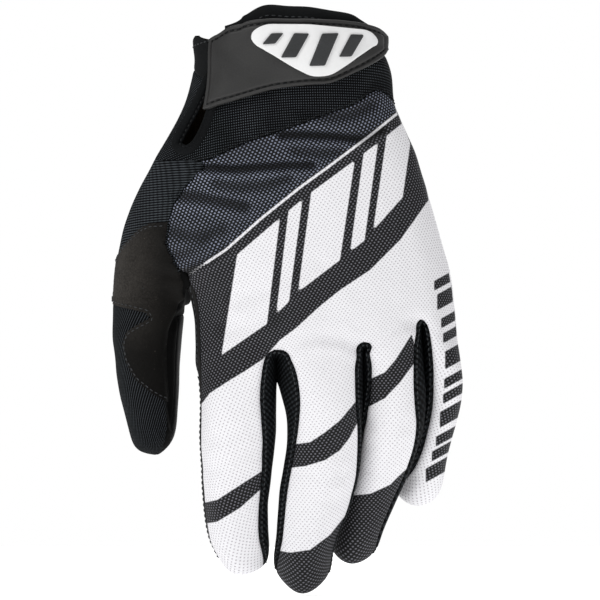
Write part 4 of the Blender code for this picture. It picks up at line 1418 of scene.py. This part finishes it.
def sheet_piece(name, low, high, *materials):
    """Closed thick sheet between an inner and an outer grid of points."""
    low, high = np.asarray(low, float), np.asarray(high, float)
    rows, columns = high.shape[:2]
    n = rows * columns
    grid = np.arange(n).reshape(rows, columns)
    cells = np.stack((grid[:-1, :-1], grid[1:, :-1], grid[1:, 1:], grid[:-1, 1:]), -1)
    cells = cells.reshape(-1, 4)
    loop = np.concatenate((grid[0], grid[1:, -1], grid[-1, -2::-1], grid[-2:0:-1, 0]))
    after = np.roll(loop, -1)
    closing = np.stack((loop, after, after + n, loop + n), -1)
    faces = np.concatenate((cells, cells[:, ::-1] + n, closing))
    points = np.concatenate((high.reshape(-1, 3), low.reshape(-1, 3)))
    return new_piece(name, points, faces.tolist(), *materials)


STRAP_THICKNESS = 0.0022
STRAP_LIFT = 0.0011
STRAP_STATIONS = 96
STRAP_MIDDLE_CUTS = 12
STRAP_ROUNDING = 8
STRAP_STITCHED = slice(6, -10)  # the stitches stop short of the strap's ends
# Millimetres from the strap's edge, share of the height
STRAP_PROFILE = (
    (0.0, 0.42), (0.15, 0.66), (0.45, 0.82), (0.9, 0.84), (1.25, 0.82), (1.45, 0.60),
    (1.75, 0.56), (2.05, 0.62), (2.35, 0.94), (3.0, 1.0),
)


def rubber_strap(skin, material):
    """Moulded closure strap: a rounded rim, a stitched channel inside it and a flat middle."""
    rows = smooth_line(STRAP_ROWS, STRAP_ROUNDING)
    run = np.concatenate(([0], np.cumsum(np.abs(np.diff(rows[:, 0])))))
    keep = np.linspace(0, run[-1], STRAP_STATIONS)
    rows = np.stack([np.interp(keep, run, rows[:, k]) for k in range(3)], 1)
    ends, heights = np.array(STRAP_PROFILE).T
    rim = ends[-1]
    low, high = [], []
    length = run[-1] * STEP * 1000
    extra = np.concatenate((ends, length - ends[::-1])) / length * run[-1]
    stations = np.unique(np.round(np.concatenate((keep, extra)), 3))
    for at_run in stations:
        across, top, foot = (float(np.interp(at_run, keep, rows[:, k])) for k in range(3))
        tall = (foot - top) * STEP * 1000
        inner = np.linspace(rim, tall - rim, STRAP_MIDDLE_CUTS)
        edge = np.minimum(ends, tall / 2)
        cuts = np.concatenate((edge, inner[1:-1], tall - edge[::-1]))
        end_gap = min(at_run, run[-1] - at_run) * STEP * 1000
        low.append([])
        high.append([])
        for cut_at in cuts:
            share = float(np.interp(min(cut_at, tall - cut_at, end_gap), ends, heights))
            drop = top + cut_at / 1000 / STEP
            low[-1].append(wrist_point(skin.tree, across, drop, STRAP_LIFT))
            high[-1].append(
                wrist_point(skin.tree, across, drop, STRAP_LIFT + STRAP_THICKNESS * share))
    return sheet_piece("rubber_strap", low, high, material)


def strap_line(skin, edge, inset, lift):
    """A stitch line on the strap, this many millimetres inside its upper or lower edge."""
    points = []
    for across, top, foot in smooth_line(STRAP_ROWS, STRAP_ROUNDING)[STRAP_STITCHED]:
        drop = top + inset / 1000 / STEP if edge == "upper" else foot - inset / 1000 / STEP
        points.append(wrist_point(skin.tree, across, drop, lift))
    return chain(points)


BADGE_LIFT = 0.0036
BADGE_THICKNESS = 0.0016
BAR_THICKNESS = 0.0006
BAR_SEAT = 0.0001
BADGE_CORNER = 6.0
BAR_CORNER = 1.6
CORNER_SHARE = 0.45  # most that a corner may take up of its shorter side
# Share of the outline and of the height, ring by ring from the foot to the middle
BAR_RINGS = ((1.0, 0.0), (1.0, 0.6), (0.95, 1.0), (0.6, 1.0), (0.3, 1.0))
BADGE_RINGS = ((1.0, 0.0), (1.0, 0.55), (0.99, 0.85), (0.965, 1.0), (0.93, 1.0), (0.8, 1.0),
               (0.6, 1.0), (0.4, 1.0), (0.2, 1.0))


def domed_plate(skin, name, outline, lift, thickness, rings, material):
    """A flat plate with rounded edges over the strap, from its outline and rings inside it."""
    centre = outline.mean(axis=0)
    points = []
    for share, height in rings:
        for x, y in outline:
            spot = centre + (np.array((x, y)) - centre) * share
            points.append(wrist_point(skin.tree, spot[0], spot[1], lift + thickness * height))
    points.append(wrist_point(skin.tree, centre[0], centre[1], lift + thickness))
    points.append(wrist_point(skin.tree, centre[0], centre[1], lift))
    n = len(outline)
    faces = tube(len(rings), n)
    last = (len(rings) - 1) * n
    top = len(points) - 2
    faces += [(last + k, last + (k + 1) % n, top) for k in range(n)]
    faces += [((k + 1) % n, k, top + 1) for k in range(n)]
    return new_piece(name, points, faces, material)


def rounded_outline(corners, radius, steps=5):
    """Corners cut back by the radius and turned with a few points."""
    corners = np.asarray(corners, float)
    out = []
    for k, corner in enumerate(corners):
        before, after = corners[k - 1], corners[(k + 1) % len(corners)]
        to_before = (before - corner) / np.hypot(*(before - corner))
        to_after = (after - corner) / np.hypot(*(after - corner))
        shorter = min(np.hypot(*(before - corner)), np.hypot(*(after - corner)))
        cut_back = min(radius, CORNER_SHARE * shorter)
        a, b = corner + to_before * cut_back, corner + to_after * cut_back
        for t in np.linspace(0, 1, steps):
            out.append((1 - t) ** 2 * a + 2 * t * (1 - t) * corner + t**2 * b)
    return np.array(out)


def plate_bars(skin, material):
    lift = BADGE_LIFT + BADGE_THICKNESS + BAR_SEAT
    for number, (a, b, c, d, top, foot) in enumerate(BADGE_BARS, 1):
        outline = rounded_outline(((a, top), (b, top), (d, foot), (c, foot)), BAR_CORNER)
        yield domed_plate(
            skin, f"plate_bar_{number}", outline, lift, BAR_THICKNESS, BAR_RINGS, material)


PATCH_SEAT = 0.0001
SUEDE_THICKNESS = 0.0004
PINK_DEPTH = 2.6  # how deep the pinked edge is cut, in steps
PINK_PITCH = 5.0
ANGLE_STEP = 0.66  # steps along the thumb's cloth in one degree round it
SUEDE_BACK_ANGLE = 205
# Left edge of the suede in the photograph, from the top; None lies round the thumb's outer side
SUEDE_LEFT = (
    (171, 222), (150, 223), (140, 228), (130, 238), (120, 250), (112, 256), (None, 263),
    (None, 297), (108, 301), (113, 304), (130, 309), (145, 313), (149, 318), (136, 325),
    (126, 332), (122, 345), (125, 360), (135, 380), (150, 393), (165, 402),
)
# Right edge: down the hand's seam and the thumb's outline, then the inner strip's fold
SUEDE_RIGHT = (
    (215, 222), (215, 250), (188, 264), (182, 280), (181, 300), (181, 306), (178, 310),
    (171, 316), (168, 330), (166, 350), (167, 380), (169, 402),
)
SUEDE_LIMITS = (22, 150)  # angles between which the right edge is kept
SUEDE_ROW = 4.0
SUEDE_SHARES = (
    0, 0.012, 0.03, 0.07, 0.15, 0.25, 0.37, 0.5, 0.63, 0.75, 0.85, 0.93, 0.97, 0.988, 1,
)
SUEDE_SPACING = 0.8
SUEDE_BLUR = 5  # rows over which the right edge is evened out
SUEDE_SEAM_SPACING = 1.2
SUEDE_SEAM_INSET = 3.4
SUEDE_SEAM_LIFT = 0.0001
SUEDE_EDGE_SHARE = 0.03
SUEDE_END_ROWS = 6
THUMB_HIDDEN = 0.0004  # another piece this far in front hides the thumb's cloth
SEEN_REACH = 80  # how far beside a place the thumb is looked for, and in which steps
SEEN_STEP = 0.25


def thumb_angle(skin, x, y):
    """Angle round the thumb of its cloth seen at this place of the photograph, or None."""
    across, depth = photo(x, y)
    start, toward = Vector((across, -RAY_START, depth)), Vector((0, 1, 0))
    hit, _, _, far = skin.thumb_tree.ray_cast(start, toward)
    if hit is None or skin.tree.ray_cast(start, toward)[3] < far - THUMB_HIDDEN:
        return None
    drop = y - PHOTO_TOP
    offset = hit - at(*thumb_middle(drop), drop)
    angle = math.degrees(math.atan2(-offset.y, offset.x))
    return angle + 360 if angle < -90 else angle


def seen_angle(skin, x, y):
    """The same for the nearest place in this row of the photograph where the thumb is seen."""
    for reach in np.arange(0, SEEN_REACH, SEEN_STEP):
        for way in (-1, 1):
            angle = thumb_angle(skin, x + reach * way, y)
            if angle is not None:
                return angle


def suede_rows(skin, spacing):
    """Rows of the suede: left angle, right angle and drop, this far apart along its left edge."""
    left = np.array([
        ((SUEDE_BACK_ANGLE if x is None else seen_angle(skin, x, y)) * -ANGLE_STEP, y)
        for x, y in SUEDE_LEFT])
    run = np.concatenate(([0], np.cumsum(np.linalg.norm(np.diff(left, axis=0), axis=1))))
    stops = np.linspace(0, run[-1], int(run[-1] / spacing))
    turned = np.interp(stops, run, left[:, 0])
    down = np.interp(stops, run, left[:, 1])
    across, high = np.array(SUEDE_RIGHT, float).T
    levels = np.arange(high[0], high[-1] + 1, SUEDE_ROW)
    limits = [seen_angle(skin, float(np.interp(y, high, across)), y) for y in levels]
    limits = np.pad(np.clip(limits, *SUEDE_LIMITS), SUEDE_BLUR // 2, mode="edge")
    limits = np.convolve(limits, np.ones(SUEDE_BLUR) / SUEDE_BLUR, "valid")
    return stops, turned, down, np.interp(down, levels, limits)


def suede_patch(skin, material):
    """Suede on the thumb, with a pinked edge round the wedge of ribbed cloth."""
    low, high = [], []
    stops, turned, down, limits = suede_rows(skin, SUEDE_SPACING)
    for k, (run, left, y, limit) in enumerate(zip(stops, turned, down, limits)):
        tooth = PINK_DEPTH * abs(2 * ((run / PINK_PITCH) % 1) - 1)
        first = (left + tooth) / -ANGLE_STEP
        end = min(1.0, k / SUEDE_END_ROWS, (len(stops) - 1 - k) / SUEDE_END_ROWS)
        low.append([])
        high.append([])
        for share in SUEDE_SHARES:
            angle = first + (limit - first) * share
            edge = min(1.0, min(share, 1 - share) / SUEDE_EDGE_SHARE) * 0.5 + 0.5
            lift = PATCH_SEAT + SUEDE_THICKNESS * min(edge, 0.5 + 0.5 * end)
            low[-1].append(thumb_point(skin.thumb_tree, angle, y - PHOTO_TOP, PATCH_SEAT))
            high[-1].append(thumb_point(skin.thumb_tree, angle, y - PHOTO_TOP, lift))
    return sheet_piece("suede_patch", low, high, material)


def suede_seam(skin):
    """Stitch line on the suede, inside its left edge."""
    _, turned, down, _ = suede_rows(skin, SUEDE_SEAM_SPACING)
    line = np.stack((turned, down), axis=1)
    run = np.gradient(line, axis=0)
    way = np.stack((run[:, 1], -run[:, 0]), axis=1)
    line = line + way / np.linalg.norm(way, axis=1)[:, None] * SUEDE_SEAM_INSET
    lift = PATCH_SEAT + SUEDE_THICKNESS + SUEDE_SEAM_LIFT
    return chain([
        thumb_point(skin.thumb_tree, a / -ANGLE_STEP, y - PHOTO_TOP, lift) for a, y in line[3:-3]])


EDGING_HALF_WIDTH = 0.0020
EDGING_HEIGHT = 0.0012
EDGING_SIDES = 28
EDGING_FULLNESS = 0.8
EDGING_ROUNDING = 7
EDGING_STITCH_HEIGHT = 0.55  # share of the edging's height at which its stitches lie
GROOVE_PLACE = -0.55  # share of the half width, towards the outer side
GROOVE_WIDTH = 0.16
GROOVE_DEPTH = 0.5
INWARDS = Vector((0, 1, 0))


def edging_middle():
    """Middle line of the edging, well in front of the cloth."""
    line = [tuple(at(x, SLIT_FRONT_DEPTH, y)) for x, y in BINDING_LINE]
    return smooth_line(line, EDGING_ROUNDING)


def slit_edging(skin, material):
    """Rounded edging that follows the keyhole end of the slit."""
    centre = [skin.tree.ray_cast(Vector(spot), INWARDS)[0] for spot in edging_middle()]
    rings = []
    for k, spot in enumerate(centre):
        run = centre[min(k + 1, len(centre) - 1)] - centre[max(k - 1, 0)]
        across = run.cross(INWARDS).normalized()
        ring = []
        for step in range(EDGING_SIDES):
            turn = math.tau * step / EDGING_SIDES
            flat = math.copysign(abs(math.cos(turn)) ** EDGING_FULLNESS, math.cos(turn))
            groove = GROOVE_DEPTH * math.exp(-(((flat - GROOVE_PLACE) / GROOVE_WIDTH) ** 2))
            ring.append(spot + across * (EDGING_HALF_WIDTH * flat)
                        - INWARDS * (EDGING_HEIGHT * math.sin(turn) * (1 - groove)))
        rings.append(ring)
    points = [p for ring in rings for p in ring]
    faces = tube(len(rings), EDGING_SIDES)
    faces.append(tuple(range(EDGING_SIDES - 1, -1, -1)))
    faces.append(tuple(range(len(points) - EDGING_SIDES, len(points))))
    return new_piece("slit_edging", points, faces, material)


def edging_line(skin):
    """Stitch line along the outer side of the slit's edging."""
    line = edging_middle()
    points = []
    for k, spot in enumerate(line):
        run = Vector(line[min(k + 1, len(line) - 1)] - line[max(k - 1, 0)])
        out = run.cross(INWARDS).normalized() * EDGING_HALF_WIDTH * GROOVE_PLACE
        hit, _, _, _ = skin.tree.ray_cast(Vector(spot) + out, INWARDS)
        points.append(hit - INWARDS * EDGING_HEIGHT * EDGING_STITCH_HEIGHT)
    return chain(points)


def slit_prism():
    """The slit's way through the back of the wrist, to be cut out of the knit and the cuff."""
    side = []
    for k, (x, y) in enumerate(BINDING_LINE):
        a, b = BINDING_LINE[max(0, k - 1)], BINDING_LINE[min(len(BINDING_LINE) - 1, k + 1)]
        run = Vector((b[0] - a[0], b[1] - a[1])).normalized()
        side.append((x + run.y * SLIT_MARGIN, y - run.x * SLIT_MARGIN))
    outline = side + list(SLIT_TOP)
    n = len(outline)
    points = [at(x, SLIT_FRONT_DEPTH, y) for x, y in outline] + [at(x, 0, y) for x, y in outline]
    faces = [tuple(range(n - 1, -1, -1)), tuple(range(n, 2 * n)), *tube(2, n)]
    return new_piece("slit_prism", points, faces)


def slit_cut(piece, prism):
    step = piece.modifiers.new("slit", "BOOLEAN")
    step.operation = "DIFFERENCE"
    step.solver = "EXACT"
    step.object = prism
    return baked(piece)


# Stage

CAMERA_DISTANCE = 6.0
FRAME_SIDE = 600
SENSOR = 36.0
FLOOR_RADIUS = 1.2
FLOOR_CORNERS = 64
FLOOR_DROP = 0.001
FLOOR_GLOW = 0.55
LAMP_TARGET = Vector((0.0, 0.0, -0.1))
# Name, place, side of the lamp, watts
LAMPS = (
    ("key", (-0.80, -0.9, 0.85), 0.45, 9.0),
    ("fill", (1.15, -0.9, 0.0), 0.8, 2.6),
    ("top", (0.1, 0.25, 1.1), 0.6, 4.5),
    ("back", (0.3, 1.2, 0.2), 0.8, 4.0),
)
AMBIENT = 0.36


def stage(lowest):
    """Pale floor and background, soft lights and a camera square to the back of the hand."""
    floor = bpy.data.meshes.new("floor")
    turns = [math.tau * k / FLOOR_CORNERS for k in range(FLOOR_CORNERS)]
    ring = [(FLOOR_RADIUS * math.cos(t), FLOOR_RADIUS * math.sin(t), lowest) for t in turns]
    floor.from_pydata(ring, [], [tuple(range(FLOOR_CORNERS))])
    look = Finish("white_floor", 0.9)
    look.colour((0.93, 0.93, 0.93))
    look.shader.inputs["Emission Color"].default_value = (1, 1, 1, 1)
    look.shader.inputs["Emission Strength"].default_value = FLOOR_GLOW
    floor.materials.append(look.material)
    holder = placed("floor", floor)

    world = bpy.data.worlds.new("studio")
    world.use_nodes = True
    tree = world.node_tree
    seen = node(tree, "ShaderNodeLightPath").outputs["Is Camera Ray"]
    strength = stepped(tree, seen, 0, 1, AMBIENT, 1.0)
    sky = tree.nodes["Background"]
    sky.inputs["Color"].default_value = (1, 1, 1, 1)
    tree.links.new(strength, sky.inputs["Strength"])
    bpy.context.scene.world = world
    for name, place, side, power in LAMPS:
        lamp = bpy.data.lights.new(name, "AREA")
        lamp.size = side
        lamp.energy = power
        light = placed(name, lamp)
        light.location = place
        light.rotation_euler = (LAMP_TARGET - Vector(place)).to_track_quat("-Z", "Y").to_euler()

    lens = bpy.data.cameras.new("front")
    lens.sensor_width = SENSOR
    lens.lens = SENSOR * CAMERA_DISTANCE / (FRAME_SIDE * STEP)
    camera = placed("front", lens)
    middle = photo(FRAME_SIDE / 2, FRAME_SIDE / 2)
    camera.location = (middle[0], -CAMERA_DISTANCE, middle[1])
    camera.rotation_euler = (math.pi / 2, 0, 0)
    bpy.context.scene.camera = camera
    bpy.context.scene.view_settings.view_transform = "Standard"


# Pitch, length and thickness of stitches
GUSSET_STITCHES = (0.0019, 0.0012, 0.00045)
EDGING_STITCHES = (0.0019, 0.0012, 0.0005)
STRAP_STITCHES = (0.0025, 0.0017, 0.0006)
SUEDE_STITCHES = (0.0021, 0.0014, 0.0004)
# Name, slot, solid, its neighbours at the seam or None for an open edge, inset and lift of the
# line, whether the thread is grey, sizes of the stitches
SEAM_STITCHES = (
    *((f"side_stitches_{number}", "gusset", solid, ("back_panel",), 0.0011, 0.00005, True,
       GUSSET_STITCHES)
      for number, solid in enumerate(GUSSETS, 1)),
    ("knit_stitches", "wrist_knit", "wrist_knit", ("back_panel",), 0.0009, 0.00002, False,
     (0.0020, 0.0014, 0.0004)),
    ("hem_stitches", "cuff", "cuff", None, 0.0042, 0.00004, True, (0.0024, 0.0016, 0.0005)),
    ("palm_stitches", "palm", "palm", ("back_panel", "cuff"), 0.0014, 0.00003, True,
     (0.0022, 0.0015, 0.0005)),
)
STRAP_GROOVE = (1.75, STRAP_LIFT + STRAP_THICKNESS * 0.62)  # millimetres inside the edge, height


def dress(skin):
    """Every visible piece of the glove, each in its own finish."""
    mesh, knit, leather = mesh_finish(), knit_finish(), leather_finish()
    stretch, ribbed, suede = stretch_finish(), ribbed_finish(), suede_finish()
    strip = plain_finish("smooth_strip", 7, 16, 0.6, -0.05, 1400, 0.04, 0.08)
    neoprene = plain_finish("black_neoprene", 11, 24, 0.75, -0.08, 1600, 0.06, 0.08)
    edging = plain_finish("dark_edging", 8, 26, 0.75, -0.1, 1500, 0.06, 0.06)
    lining = plain_finish("brown_lining", 30, 50, 0.9, 0.5, 900, 0.06)
    rubber = plain_finish("moulded_rubber", 38, 52, 0.5, 0.01, 2200, 0.035, 0.3)
    white = plain_finish("white_rubber", 232, 240, 0.45, 0.0, 700, 0.01, 0.3)
    inlay = plain_finish("grey_inlay", 52, 64, 0.5, -0.03, 1800, 0.02)
    dark_thread = plain_finish("dark_thread", 20, 40, 0.7, -0.05, 2500, 0.02)
    grey_thread = plain_finish("grey_thread", 48, 74, 0.7, -0.06, 2500, 0.02)
    outside = {
        "back_panel": mesh, "wrist_knit": knit, "palm": leather, "thumb_shell": ribbed,
        **{name: stretch for name in GUSSETS}, "thumb_inner_strip": strip, "cuff": neoprene,
    }
    prism = slit_prism()
    for node_name, look in outside.items():
        lined = node_name in ("wrist_knit", "cuff")
        piece = cloth(skin, node_name, look, lining if lined else look)
        if lined:
            slit_cut(piece, prism)
        slot = "gusset" if node_name.startswith("gusset") else node_name
        wear(piece, slot, node_name)
    bpy.data.objects.remove(prism, do_unlink=True)
    wear(rubber_strap(skin, rubber), "closure_strap", "closure_strap")
    outline = rounded_outline(BADGE_OUTLINE, BADGE_CORNER, 4)
    wear(domed_plate(skin, "white_plate", outline, BADGE_LIFT, BADGE_THICKNESS, BADGE_RINGS, white),
         "badge_plate", "badge_plate")
    for number, bar in enumerate(plate_bars(skin, inlay), 1):
        wear(bar, "badge_bars", f"badge_bar_{number}")
    wear(suede_patch(skin, suede), "suede", "thumb_patch_upper", "thumb_patch_lower")
    wear(slit_edging(skin, edging), "slit_binding", "slit_binding")

    for name, slot, solid, beside, inset, lift, light, sizes in SEAM_STITCHES:
        points, edges = seam_line(skin, solid, beside, inset, lift)
        thread = grey_thread if light else dark_thread
        wear(stitch_row(name, points, edges, thread, *sizes), slot)
    wear(stitch_row("edging_stitches", *edging_line(skin), dark_thread, *EDGING_STITCHES),
         "slit_binding")
    for edge in ("upper", "lower"):
        line = strap_line(skin, edge, *STRAP_GROOVE)
        wear(stitch_row(f"strap_stitches_{edge}", *line, dark_thread, *STRAP_STITCHES),
             "closure_strap")
    wear(stitch_row("suede_stitches", *suede_seam(skin), grey_thread, *SUEDE_STITCHES), "suede")


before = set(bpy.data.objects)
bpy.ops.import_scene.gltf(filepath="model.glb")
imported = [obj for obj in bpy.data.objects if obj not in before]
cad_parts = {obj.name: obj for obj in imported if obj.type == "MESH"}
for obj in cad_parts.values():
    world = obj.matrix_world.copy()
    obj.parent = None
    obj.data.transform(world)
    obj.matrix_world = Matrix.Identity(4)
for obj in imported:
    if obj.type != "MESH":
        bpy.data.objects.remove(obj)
solid_box = [[float(v) for v in corner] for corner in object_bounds()]
glove = Skin()
dress(glove)
stage(solid_box[0][2] - FLOOR_DROP)
